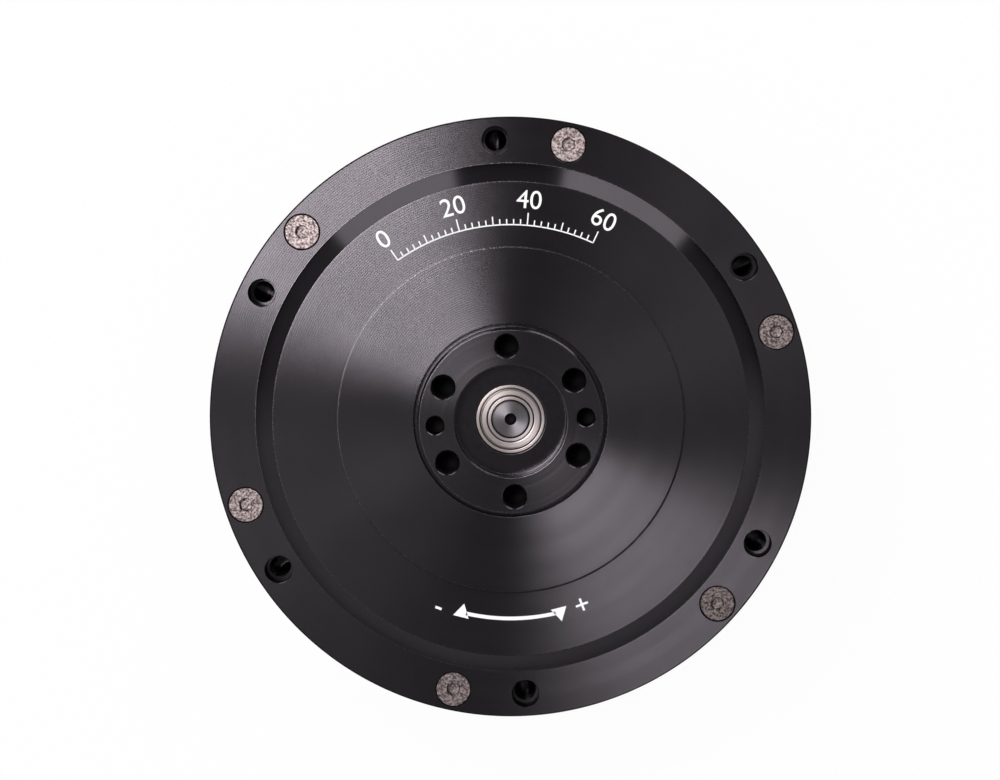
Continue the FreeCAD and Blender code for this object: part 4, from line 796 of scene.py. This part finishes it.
@dataclass
class Casing:
    """Front cover, main housing and rear cover."""

    radius: float = 49.0
    chamfer: float = 0.4
    front_chamfer: float = 0.16
    board_level: float = 6.2
    base_bottom: float = 10.7
    base_top: float = 13.2
    housing_top: float = 51.7
    rim_top: float = 56.2
    shelf_top: float = 59.0
    face_top: float = 60.0
    foot_radius: float = 41.5
    bevel_radius: float = 38.6
    step_radius: float = 28.0
    opening_radius: float = 15.7
    bearing_radius: float = 28.0
    bearing_bottom: float = 50.0
    bearing_top: float = 58.0
    spigot_radius: float = 37.98
    spigot_bottom: float = 47.7
    clamp_radius: float = 33.2
    lip_radius: float = 24.6
    lip_top: float = 58.9
    groove_count: int = 5
    groove_depth: float = 0.8
    groove_width: float = 1.4
    groove_pitch: float = 3.0
    grooves_start: float = 6.0
    rear_wall: float = 5.5
    rear_floor: float = 3.0
    vane_count: int = 18
    side_socket_turn: float = 20.781
    bore_circle: float = 45.25
    bore_radius: float = 2.25
    screw_circle: float = 45.45
    head_radius: float = 2.95
    rear_circle: float = 46.5
    edge: float = 0.09

    def cover_outline(self) -> Outline:
        """Section of the front cover."""
        return [
            (self.opening_radius, self.lip_top), (self.opening_radius, self.face_top),
            (self.step_radius, self.face_top), (self.step_radius, self.shelf_top),
            (self.bevel_radius, self.shelf_top), (self.foot_radius, self.rim_top),
            (self.radius - self.front_chamfer, self.rim_top),
            (self.radius, self.rim_top - self.front_chamfer), (self.radius, self.housing_top),
            (self.spigot_radius, self.housing_top), (self.spigot_radius, self.spigot_bottom),
            (self.clamp_radius, self.spigot_bottom), (self.clamp_radius, self.bearing_bottom),
            (self.bearing_radius, self.bearing_bottom), (self.bearing_radius, self.bearing_top),
            (self.lip_radius, self.bearing_top), (self.lip_radius, self.lip_top),
        ]

    def build_cover(self) -> None:
        """The front cover with its open bores and countersinks."""
        shape = spun(self.cover_outline(), FINE_STEPS, self.edge)
        for face in shape.faces:
            middle = face.calc_center_median()
            if self.rim_top + 0.3 < middle.z / MM < self.shelf_top - 0.3 and face.normal.z > 0.5:
                face.material_index = OTHER_SLOT
            # Painted shade: the rim's outer chamfer gets the near-black finish and shows as a dark edge.
            if middle.to_2d().length > (self.radius - 0.3) * MM and middle.z > (self.rim_top - 0.4) * MM:
                face.material_index = SHADE_SLOT
        cover = make_piece("turned_front_cover", shape, *CASING_FINISHES, "painted_shade_black", "bevel_sheen")
        above = self.rim_top + 1.0
        mouth = 0.07
        bore = spun([
            (0.0, self.housing_top - 1.0), (self.bore_radius, self.housing_top - 1.0),
            (self.bore_radius, self.rim_top - mouth), (self.bore_radius + mouth, self.rim_top),
            (self.bore_radius + mouth, above), (0.0, above),
        ])
        sink = spun([
            (0.0, self.housing_top - 1.0), (1.7, self.housing_top - 1.0), (1.7, self.rim_top - 1.4),
            (self.head_radius, self.rim_top - 0.15), (self.head_radius, self.rim_top - 0.04),
            (self.head_radius + 0.06, self.rim_top), (self.head_radius + 0.06, above), (0.0, above),
        ])
        bores = on_circle(bore, self.bore_circle, BORE_ANGLES)
        sinks = on_circle(sink, self.screw_circle, SCREW_ANGLES)
        # Painted shade: the walls of the bores and countersinks, with the gap round the screw heads, get the
        # near-black finish; their mouths get the edges' finish.
        carve(cover, joined(bores, sinks), self.rim_top - 0.5, SHADE_SLOT)
        place_piece(cover, Body.HOUSING, "black_anodised", "front_cover")

    def build_housing(self) -> None:
        """The housing with its cooling grooves and the tapped bores under the rim."""
        grooves: Outline = []
        for number in range(self.groove_count):
            level = self.base_top + self.grooves_start + self.groove_pitch * number
            bottom = self.radius - self.groove_depth
            above = level + self.groove_width
            grooves += [(self.radius, level), (bottom, level), (bottom, above), (self.radius, above)]
        outline = [
            (44.9, self.base_top), (self.radius, self.base_top),
            *grooves,
            (self.radius, self.housing_top), (38.0, self.housing_top), (38.0, 37.6), (35.6, 37.6),
            (35.6, 34.9), (44.9, 34.9),
        ]
        housing = make_piece("turned_housing", spun(outline, FINE_STEPS, self.edge), *CASING_FINISHES)
        top = self.housing_top
        tapped = spun(
            tapped_outline(1.75, 2.05, 0.7, top - 8.0, top) + [(1.75, top + 1.0), (0.0, top + 1.0)]
        )
        narrow = prism(HOLE_STEPS, 3.0, self.rim_top - 11.0, top + 1.0)
        bores = on_circle(tapped, self.bore_circle, BORE_ANGLES)
        carve(housing, joined(bores, on_circle(narrow, self.screw_circle, SCREW_ANGLES)))
        place_piece(housing, Body.HOUSING, "black_anodised", "main_housing")

    def build_rear_cover(self) -> None:
        """The rear cover with its cooling slots, counterbores and socket windows."""
        inner = self.radius - self.rear_wall
        floor = self.board_level
        turn = self.side_socket_turn
        outline = [
            (0.0, 0.0), (self.radius - self.chamfer, 0.0), (self.radius, self.chamfer),
            (self.radius, self.base_bottom), (inner, self.base_bottom), (inner, self.rear_floor),
            (0.0, self.rear_floor),
        ]
        cover = make_piece("turned_rear_cover", spun(outline, FINE_STEPS, self.edge), *CASING_FINISHES)
        slot = block((17.0, -1.2, -1.0), (37.0, 1.2, 0.8))
        round_ends(slot)
        sink = spun([
            (0.0, -1.0), (2.55, -1.0), (2.55, 0.0), (2.4, 0.15),
            (2.4, 2.8), (1.45, 2.8), (1.45, 11.7), (0.0, 11.7),
        ])
        windows = [
            turned_block((30.0, -half, floor), (54.0, half, floor + height), SOCKET_SIDE + angle)
            for half, height, angle in ((7.2, 6.0, 0.0), (3.7, 3.4, turn), (3.7, 3.4, -turn))
        ]
        slots = on_circle(slot, 0.0, around(self.vane_count))
        carve(cover, joined(slots, on_circle(sink, self.rear_circle, around(6)), *windows))
        place_piece(cover, Body.HOUSING, "black_anodised", "rear_cover")

    def build(self) -> None:
        """All of the casing."""
        self.build_cover()
        self.build_housing()
        self.build_rear_cover()


def round_ends(slot: Shape) -> None:
    """Round the upright edges of a slot's tool until its ends are half circles."""
    upright = [item for item in slot.edges if abs(item.verts[0].co.z - item.verts[1].co.z) > MM]
    round_off(slot, upright, 1.15, 6)


def turned_block(low: Point, high: Point, angle: float, edge: float = 0.0) -> Shape:
    """A box that is laid along the X axis and then turned about the Z axis by an angle in degrees."""
    return moved(block(low, high, edge), about_axis(angle))


@dataclass
class RimScrews:
    """Countersunk hexagon socket screws in the rim."""

    circle: float = 45.45
    top: float = 56.17
    head_radius: float = 2.79
    shank_radius: float = 1.5
    length: float = 10.0
    socket: float = 2.0
    socket_depth: float = 1.3
    spins: list[float] = field(default_factory=lambda: [8.0, 41.0, 17.0, 52.0, 29.0, 3.0])

    def build(self) -> None:
        """Six screws with raised ticks on their heads."""
        top = self.top
        screw = make_piece(
            "rim_screws",
            spun([
                (0.0, top - self.length), (self.shank_radius, top - self.length),
                (self.shank_radius, top - 1.6), (self.head_radius, top - 0.28),
                (self.head_radius, top - 0.07), (self.head_radius - 0.07, top), (0.0, top),
            ], 64),
            "screw_steel",
            "recess_floor",
        )
        floor = top - self.socket_depth
        key = prism(6, self.socket, floor, top + 1.0)
        point = prism(24, self.socket * 0.98, floor - 0.55, floor + 0.02, taper=0.05)
        mouth = prism(24, self.socket * 1.12, top - 0.08, top + 0.01, taper=0.9)
        # Painted shade: the hex socket's faces get the darker recess finish.
        carve(screw, key, None, EDGE_SLOT)
        carve(screw, point)
        carve(screw, mouth)
        root = top - 0.05
        crown = top + 0.07
        long_tick = block((-0.26, -0.08, root), (0.26, 0.08, crown), 0.02)
        cross_tick = block((-0.07, -0.24, root), (0.07, 0.24, crown), 0.02)
        ticks = joined(
            on_circle(long_tick, 2.0, around(12, 15.0)),
            on_circle(cross_tick, 2.2, [30.0, 90.0, 150.0, 240.0, 300.0]),
        )
        whole = on_circle(joined(taken(screw), ticks), self.circle, SCREW_ANGLES, self.spins)
        piece = make_piece("rim_screws", whole, "screw_steel", "recess_floor")
        place_piece(piece, Body.HOUSING, "screw_steel", "front_cover_screws")


@dataclass
class RearScrews:
    """Cap screws sunk in the rear cover."""

    circle: float = 46.5
    head_bottom: float = 0.5
    head_top: float = 2.8
    head_radius: float = 2.2

    def build(self) -> None:
        """Six cap screws, seen from the rear."""
        screw = make_piece(
            "rear_cap_screws",
            spun([
                (0.0, self.head_bottom), (self.head_radius, self.head_bottom),
                (self.head_radius, self.head_top), (1.25, self.head_top), (1.25, 19.2), (0.0, 19.2),
            ], edge=0.15),
            "screw_steel",
        )
        carve(screw, prism(6, 2.0, self.head_bottom - 1.0, self.head_bottom + 1.3))
        piece = make_piece("rear_cap_screws", on_circle(taken(screw), self.circle, around(6)), "screw_steel")
        place_piece(piece, Body.HOUSING, "screw_steel", "rear_cover_screws")


@dataclass
class OutputFlange:
    """Output nose with tapped bores, dowel holes and the recess for the bearing."""

    radius: float = 15.1
    top: float = 62.0
    bottom: float = 50.0
    shoulder: float = 58.6
    recess: float = 9.0
    recess_floor: float = 57.5
    lip: float = 5.72
    bore_circle: float = 12.2
    bore: float = 1.7
    bore_mouth: float = 0.4
    edge: float = 0.07

    def build(self) -> None:
        """The whole flange."""
        outline = [
            (6.0, self.bottom), (20.0, self.bottom), (20.0, 58.0), (21.2, 58.0), (21.2, self.shoulder),
            (self.radius, self.shoulder), (self.radius, self.top - 0.35), (self.radius - 0.35, self.top),
            (self.recess + 0.2, self.top), (self.recess, self.top - 0.16),
            (self.recess, self.recess_floor), (self.lip, self.recess_floor), (self.lip, 57.0),
            (6.0, 57.0),
        ]
        shape = spun(outline, FINE_STEPS, self.edge)
        for face in shape.faces:
            middle = face.calc_center_median()
            if abs(middle.z - self.recess_floor * MM) < 0.01 * MM:
                face.material_index = OTHER_SLOT
        finishes = ("black_satin", "anodised_edge", "painted_shade_black", "recess_floor")
        flange = make_piece("turned_output_flange", shape, *finishes)
        top = self.top
        wide = self.bore + self.bore_mouth
        tapped = spun(
            tapped_outline(self.bore, 1.98, 0.7, top - 7.0, top - 0.5)
            + [(self.bore, top - 0.6), (wide - 0.26, top - 0.24)]
            + [(wide, top), (wide, top + 1.0), (0.0, top + 1.0)]
        )
        dowel = spun([
            (0.0, top - 5.75), (1.5, top - 5.0), (1.5, top - 0.15),
            (1.65, top), (1.65, top + 1.0), (0.0, top + 1.0),
        ])
        bores = on_circle(tapped, self.bore_circle, BORE_ANGLES)
        dowels = on_circle(dowel, self.bore_circle, around(2))
        # Painted shade: the walls of the tapped bores and dowel holes get the near-black finish; their mouths
        # get the edges' finish.
        carve(flange, joined(bores, dowels), top - 0.25, SHADE_SLOT)
        place_piece(flange, Body.OUTPUT, "black_satin", "output_flange")


@dataclass
class NoseBearing:
    """Shielded ball bearing round the shaft's nose."""

    top: float = 57.0
    bottom: float = 53.0
    outer: float = 6.0
    outer_bore: float = 5.04
    inner_edge: float = 3.7
    bore: float = 3.0

    def ring(self, inner: float, outer: float, inner_edge: float, outer_edge: float) -> Shape:
        """One ring, with a chamfer of its own on each edge.

        Args:
            inner: radius of its bore in millimetres.
            outer: its outer radius.
            inner_edge: chamfer at the bore.
            outer_edge: chamfer at the outside.

        Returns:
            The ring.
        """
        top = self.top
        bottom = self.bottom
        return spun([
            (inner, bottom + inner_edge), (inner + inner_edge, bottom), (outer - outer_edge, bottom),
            (outer, bottom + outer_edge), (outer, top - outer_edge), (outer - outer_edge, top),
            (inner + inner_edge, top), (inner, top - inner_edge),
        ], 128, 0.05)

    def shield(self, level: float, toward: float) -> Shape:
        """A pressed shield: rolled outer edge, flat middle and a turned-down inner edge."""
        drop = (
            (5.02, 0.3), (4.96, 0.14), (4.88, 0.03), (4.8, 0.0), (4.72, 0.03), (4.64, 0.08), (3.98, 0.08),
            (3.86, 0.13), (3.82, 0.22), (3.82, 0.34), (5.02, 0.36),
        )
        return spun([(radius, level - fall * toward) for radius, fall in drop], 128)

    def build(self) -> None:
        """Both rings, both shields, and painted shade sheets in the centre drill and over the gap round the
        shaft.
        """
        ring = self.ring(self.outer_bore, self.outer, 0.06, 0.46)
        # Painted shade: the outer ring's wide outer chamfer gets the near-black finish, for the shaded gap
        # round the bearing.
        for face in ring.faces:
            painted_gap_shade = face.calc_center_median().to_2d().length > (self.outer - 0.46) * MM
            face.material_index = EDGE_SLOT if painted_gap_shade else 0
        outer = make_piece("bearing_outer_ring", ring, "bright_steel", "painted_shade_black")
        place_piece(outer, Body.OUTPUT, "bright_steel", "nose_bearing_outer_ring")
        ring = self.ring(self.bore, self.inner_edge, 0.14, 0.06)
        inner = make_piece("bearing_inner_ring", ring, "bright_steel")
        place_piece(inner, Body.ROTOR, "bright_steel", "nose_bearing_inner_ring")
        shields = joined(self.shield(self.top - 0.04, 1.0), self.shield(self.bottom + 0.04, -1.0))
        bmesh.ops.recalc_face_normals(shields, faces=shields.faces)
        piece = make_piece("bearing_shields", shields, "bright_steel")
        place_piece(piece, Body.OUTPUT, "bright_steel", "nose_bearing_shields")
        # Painted shade: near-black sheets in the shaft's centre drill and over the gap between the shaft and
        # the inner ring, where only shade falls.
        shade_sheets = make_piece(
            "painted_shade_sheets",
            joined(
                spun([(0.97, 57.31), (0.93, 57.31), (0.0, 56.0), (0.0, 55.93)], 48),
                spun([(2.7, 57.31), (3.18, 57.03), (3.18, 56.98), (2.7, 57.2)], 96),
            ),
            "painted_shade_black",
        )
        place_piece(shade_sheets, Body.ROTOR, "gear_steel")


@dataclass
class Printing:
    """White print on the cover's shelf: a plain degree scale and a turning arrow with its signs."""

    level: float = 59.0
    height: float = 0.02
    scale_radius: float = 31.6
    scale_start: float = 62.0
    scale_end: float = 122.0
    arrow_radius: float = 32.4
    arrow_middle: float = 267.0
    arrow_half: float = 13.0
    arrow_stroke: float = 0.6
    stroke: float = 0.2
    numeral: float = 4.2
    numeral_gap: float = 4.0
    sign: float = 4.4
    sign_gap: float = 8.0

    def bar(self, near: float, far: float, width: float, angle: float) -> Shape:
        """A printed stroke along the radius.

        Args:
            near: radius where it starts, in millimetres.
            far: radius where it ends.
            width: its width.
            angle: on which angle, in degrees.

        Returns:
            The stroke.
        """
        low = (near, -width / 2, self.level - self.height)
        high = (far, width / 2, self.level + self.height)
        return turned_block(low, high, angle)

    def arc(self, radius: float, width: float, start: float, end: float) -> Shape:
        """A printed stroke round the axis.

        Args:
            radius: its middle radius in millimetres.
            width: its width.
            start: the angle where it starts, in degrees.
            end: the angle where it ends.

        Returns:
            The stroke.
        """
        shape = bmesh.new()
        near = (radius - width / 2) * MM
        far = (radius + width / 2) * MM
        low = (self.level - self.height) * MM
        high = (self.level + self.height) * MM
        corners = ((near, low), (far, low), (far, high), (near, high))
        face = shape.faces.new([shape.verts.new((across, 0.0, up)) for across, up in corners])
        moved(shape, about_axis(start))
        bmesh.ops.spin(
            shape,
            geom=[face],
            cent=(0.0, 0.0, 0.0),
            axis=(0.0, 0.0, 1.0),
            angle=math.radians(end - start),
            steps=int(end - start) * 2,
            use_merge=False,
            use_duplicate=False,
        )
        bmesh.ops.recalc_face_normals(shape, faces=shape.faces)
        return shape

    def word(self, text: str, size: float, radius: float, angle: float, outward: bool) -> Shape:
        """Numerals or a sign on a radius, upright when seen from the front.

        Args:
            text: what is printed.
            size: height of the letters in millimetres.
            radius: where its middle stands.
            angle: on which angle, in degrees.
            outward: whether its head points away from the axis.

        Returns:
            The printed shape.
        """
        curve = bpy.data.curves.new("word", "FONT")
        curve.body = text
        curve.size = size * MM
        curve.align_x = "CENTER"
        curve.align_y = "CENTER"
        curve.extrude = self.height * MM
        carrier = put("word", curve)
        graph = bpy.context.evaluated_depsgraph_get()
        mesh = bpy.data.meshes.new_from_object(carrier.evaluated_get(graph))
        bpy.data.objects.remove(carrier)
        shape = bmesh.new()
        shape.from_mesh(mesh)
        bpy.data.meshes.remove(mesh)
        turn = angle - 90.0 if outward else angle + 90.0
        spot = Vector((math.cos(math.radians(angle)), math.sin(math.radians(angle)), 0.0)) * radius * MM
        spot.z = self.level * MM
        return moved(shape, Matrix.Translation(spot) @ about_axis(turn))

    def build(self) -> None:
        """The scale and the arrow."""
        strokes = [self.arc(self.scale_radius, self.stroke, self.scale_start, self.scale_end)]
        count = int(self.scale_end - self.scale_start) // 2
        for number in range(count + 1):
            angle = self.scale_end - 2.0 * number
            length = {0: 2.0, 5: 1.4}.get(number % 10, 0.9)
            strokes.append(self.bar(self.scale_radius, self.scale_radius + length, self.stroke, angle))
        for number, text in enumerate(("0", "20", "40", "60")):
            angle = self.scale_end - 20.0 * number
            strokes.append(self.word(text, self.numeral, self.scale_radius + self.numeral_gap, angle, True))
        scale = make_piece("printed_scale", joined(*strokes), "white_ink")
        place_piece(scale, Body.HOUSING, "black_anodised")
        start = self.arrow_middle - self.arrow_half
        end = self.arrow_middle + self.arrow_half
        marks = [self.arc(self.arrow_radius, self.arrow_stroke, start, end)]
        for angle, toward in ((start, -1.0), (end, 1.0)):
            marks.append(self.arrow_head(angle, toward))
        marks.append(self.word("+", self.sign, self.arrow_radius + 0.1, end + self.sign_gap, False))
        marks.append(self.word("-", self.sign, self.arrow_radius + 0.1, start - self.sign_gap, False))
        arrow = make_piece("printed_arrow", joined(*marks), "white_ink")
        place_piece(arrow, Body.HOUSING, "black_anodised")

    def arrow_head(self, angle: float, toward: float) -> Shape:
        """A flat triangular head at one end of the arrow.

        Args:
            angle: where the arrow's stroke ends, in degrees.
            toward: 1 or -1, the way it points round the axis.

        Returns:
            The head.
        """
        shape = prism(3, 1.5, self.level - self.height, self.level + self.height)
        turn = about_axis(30.0 if toward > 0 else -30.0)
        place = about_axis(angle + toward * 1.2) @ Matrix.Translation((self.arrow_radius * MM, 0.0, 0.0))
        return moved(shape, place @ turn)


@dataclass
class Sockets:
    """Power socket and the two signal sockets in the rear cover's wall."""

    level: float = 6.2
    face: float = 48.2
    small_face: float = 48.57
    side_turn: float = 20.781

    def build(self) -> None:
        """Rounded socket bodies, with their contacts and pins."""
        low = (self.face - 9.0, -7.0, self.level)
        high = (self.face, 7.0, self.level + 4.3)
        power = make_piece("power_socket_body", turned_block(low, high, SOCKET_SIDE, 0.35), "socket_yellow")
        lie = Matrix.Rotation(math.radians(90.0), 4, "Y")
        turn = about_axis(SOCKET_SIDE)
        holes = []
        for side in (-3.0, 3.0):
            bore = spun([(0.0, 0.0), (1.3, 0.0), (1.3, 7.6), (1.6, 8.2), (0.0, 8.2)], 32)
            spot = Matrix.Translation(((self.face - 7.0) * MM, side * MM, (self.level + 2.15) * MM))
            holes.append(moved(bore, turn @ spot @ lie))
        carve(power, joined(*holes))
        place_piece(power, Body.HOUSING, "socket_yellow", "power_socket")
        level = self.level
        end = self.small_face
        near = end - 6.0
        for name, turned in (("bus_socket", self.side_turn), ("service_socket", -self.side_turn)):
            angle = SOCKET_SIDE + turned
            outside = turned_block((near, -3.5, level), (end, 3.5, level + 3.2), angle, 0.15)
            shell = make_piece(f"{name}_shell", outside, "socket_white")
            carve(shell, turned_block((near + 1.2, -2.9, level + 0.6), (end + 1.0, 2.9, level + 2.6), angle))
            place_piece(shell, Body.HOUSING, "socket_white", name)
            pins = [
                turned_block(
                    (near + 1.0, side - 0.2, level + 1.4), (end - 1.2, side + 0.2, level + 1.8), angle, 0.06
                )
                for side in (-1.8, -0.6, 0.6, 1.8)
            ]
            piece = make_piece(f"{name}_pins", joined(*pins), "contact_gold")
            place_piece(piece, Body.HOUSING, "contact_gold")


# Studio


def facing(spot: Vector, side: Vector, top: Vector, back: Vector) -> Matrix:
    """The place of a lamp or camera at a spot, from its three axes."""
    return Matrix.Translation(spot) @ Matrix((side, top, back)).transposed().to_4x4()


def cleared(owner: bpy.types.Material | bpy.types.World) -> Wiring:
    """Empty the node tree of a floor's or world's finish.

    Args:
        owner: the material or world.

    Returns:
        Its tree, ready for new nodes.
    """
    owner.use_nodes = True
    owner.node_tree.nodes.clear()
    return Wiring(owner.node_tree)


def seen_rays(wiring: Wiring) -> Socket:
    """Tell the rays that show the object's surroundings apart.

    Args:
        wiring: the tree that asks.

    Returns:
        1 for camera, glossy and transmission rays, else 0.
    """
    rays = wiring.node("LightPath").outputs
    direct = wiring.maths("MAXIMUM", rays["Is Camera Ray"], rays["Is Glossy Ray"])
    return wiring.maths("MAXIMUM", direct, rays["Is Transmission Ray"])


@dataclass(frozen=True)
class Softbox:
    """A flat lamp that faces the object's front."""

    name: str
    azimuth: float
    tilt: float
    distance: float
    width: float
    height: float
    radiance: float

    def build(self, target: Vector) -> None:
        """Hang the lamp.

        Args:
            target: the point it faces.
        """
        data = bpy.data.lights.new(self.name, "AREA")
        data.shape = "RECTANGLE"
        data.size = self.width
        data.size_y = self.height
        data.energy = self.radiance * math.pi * self.width * self.height
        lamp = put(self.name, data)
        lamp.visible_camera = False
        turn = math.radians(self.azimuth)
        lean = math.radians(self.tilt)
        way = Vector((math.cos(turn) * math.sin(lean), math.sin(turn) * math.sin(lean), math.cos(lean)))
        side = Vector((-math.sin(turn), math.cos(turn), 0.0))
        lamp.matrix_world = facing(target + way * self.distance, side, way.cross(side), way)


@dataclass
class Studio:
    """Camera, floor, world and lamps."""

    distance: float = 0.55
    lean: float = 4.4
    roll: float = 3.1
    frame_width: float = 0.16283
    shift: tuple[float, float] = (-0.0105, 0.0286)
    sensor: float = 36.0
    target: tuple[float, float, float] = (0.0, 0.0, 0.0562)
    floor_radius: float = 4.0
    floor_gap: float = 0.0003
    floor_grey: float = 0.82
    floor_share: float = 0.96
    floor_bounce: float = 0.3
    diffuse_light: float = 0.55
    overhead: float = 0.144
    horizon_near: float = 0.72
    horizon_far: float = 0.04

    def build_camera(self) -> None:
        """A camera over the output face, leaning a little towards the top of the picture."""
        up_angle = math.radians(90.0 - self.roll)
        up = Vector((math.cos(up_angle), math.sin(up_angle), 0.0))
        lean = math.radians(self.lean)
        back = up * math.sin(lean) + Vector((0.0, 0.0, math.cos(lean)))
        top = Vector((0.0, 0.0, 1.0)) * -math.sin(lean) + up * math.cos(lean)
        data = bpy.data.cameras.new("camera")
        data.sensor_width = self.sensor
        data.lens = self.sensor * self.distance / self.frame_width
        data.shift_x, data.shift_y = self.shift
        data.clip_start = 0.01
        data.clip_end = 20.0
        camera = put("camera", data)
        camera.matrix_world = facing(Vector(self.target) + back * self.distance, top.cross(back), top, back)
        bpy.context.scene.camera = camera

    def build_floor(self) -> None:
        """A pale floor that looks white, keeps the object's shadow and is clear from below."""
        shape = bmesh.new()
        bmesh.ops.create_circle(shape, cap_ends=True, radius=self.floor_radius, segments=64)
        bmesh.ops.translate(shape, vec=(0.0, 0.0, -self.floor_gap), verts=shape.verts)
        floor = make_piece("floor", shape)
        material = bpy.data.materials.new("floor_white")
        wiring = cleared(material)
        grey = self.floor_grey
        matt = wiring.node("BsdfDiffuse", {"Color": (grey, grey, grey, 1.0)}).outputs[0]
        camera = wiring.node("LightPath").outputs["Is Camera Ray"]
        strength = wiring.between(camera, self.floor_bounce, 1.0)
        glow = wiring.node("Emission", {"Color": WHITE, "Strength": strength}).outputs[0]
        share = wiring.maths("MULTIPLY", seen_rays(wiring), self.floor_share)
        above = wiring.node("MixShader", {0: share, 1: matt, 2: glow}).outputs[0]
        below = wiring.node("NewGeometry").outputs["Backfacing"]
        clear = wiring.node("BsdfTransparent").outputs[0]
        surface = wiring.node("MixShader", {0: below, 1: above, 2: clear}).outputs[0]
        wiring.node("OutputMaterial", {"Surface": surface})
        floor.data.materials.append(material)

    def build_world(self) -> None:
        """White for the camera, dim overhead with a brighter horizon for glossy rays, even for the rest."""
        world = bpy.data.worlds.new("studio")
        bpy.context.scene.world = world
        wiring = cleared(world)
        apart = wiring.node("SeparateXYZ", {0: wiring.node("TexCoord").outputs["Generated"]}).outputs
        horizon = wiring.between(apart["Y"], self.horizon_near, self.horizon_far, -0.15, 0.15)
        glossy = wiring.between(
            apart["Z"], horizon, self.overhead, 0.02, 0.3, interpolation_type="SMOOTHSTEP"
        )
        light = wiring.node("Mix", {0: seen_rays(wiring), 2: self.diffuse_light, 3: glossy}).outputs[0]
        camera = wiring.node("LightPath").outputs["Is Camera Ray"]
        strength = wiring.node("Mix", {0: camera, 2: light, 3: 1.0}).outputs[0]
        background = wiring.node("Background", {"Color": WHITE, "Strength": strength}).outputs[0]
        wiring.node("OutputWorld", {"Surface": background})

    def build_lamps(self) -> None:
        """A strong key lamp, three weak side lamps and two low strips."""
        boxes = (
            Softbox("key", 136.5, 20.0, 0.8, 0.3, 0.25, 15.0),
            Softbox("side_far", 205.0, 18.0, 0.8, 0.16, 0.25, 0.5),
            Softbox("side_near", 214.0, 18.0, 0.8, 0.27, 0.25, 0.33),
            Softbox("side_right", 25.0, 18.0, 0.8, 0.25, 0.25, 0.48),
            Softbox("strip_left", 117.0, 80.0, 0.6, 0.35, 0.22, 2.3),
            Softbox("strip_right", 57.0, 80.0, 0.6, 0.36, 0.22, 2.5),
        )
        for box in boxes:
            box.build(Vector(self.target))

    def build(self) -> None:
        """Everything round the object."""
        self.build_camera()
        self.build_floor()
        self.build_world()
        self.build_lamps()
        bpy.context.scene.view_settings.view_transform = "Standard"


def main() -> None:
    """Build the dressed object round the frame, and the studio round the object."""
    logging.basicConfig(level=logging.INFO, format="%(message)s")
    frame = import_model()
    dress_nodes(frame)
    Casing().build()
    RimScrews().build()
    RearScrews().build()
    OutputFlange().build()
    NoseBearing().build()
    Printing().build()
    Sockets().build()
    Studio().build()


if __name__ == "__main__":
    main()
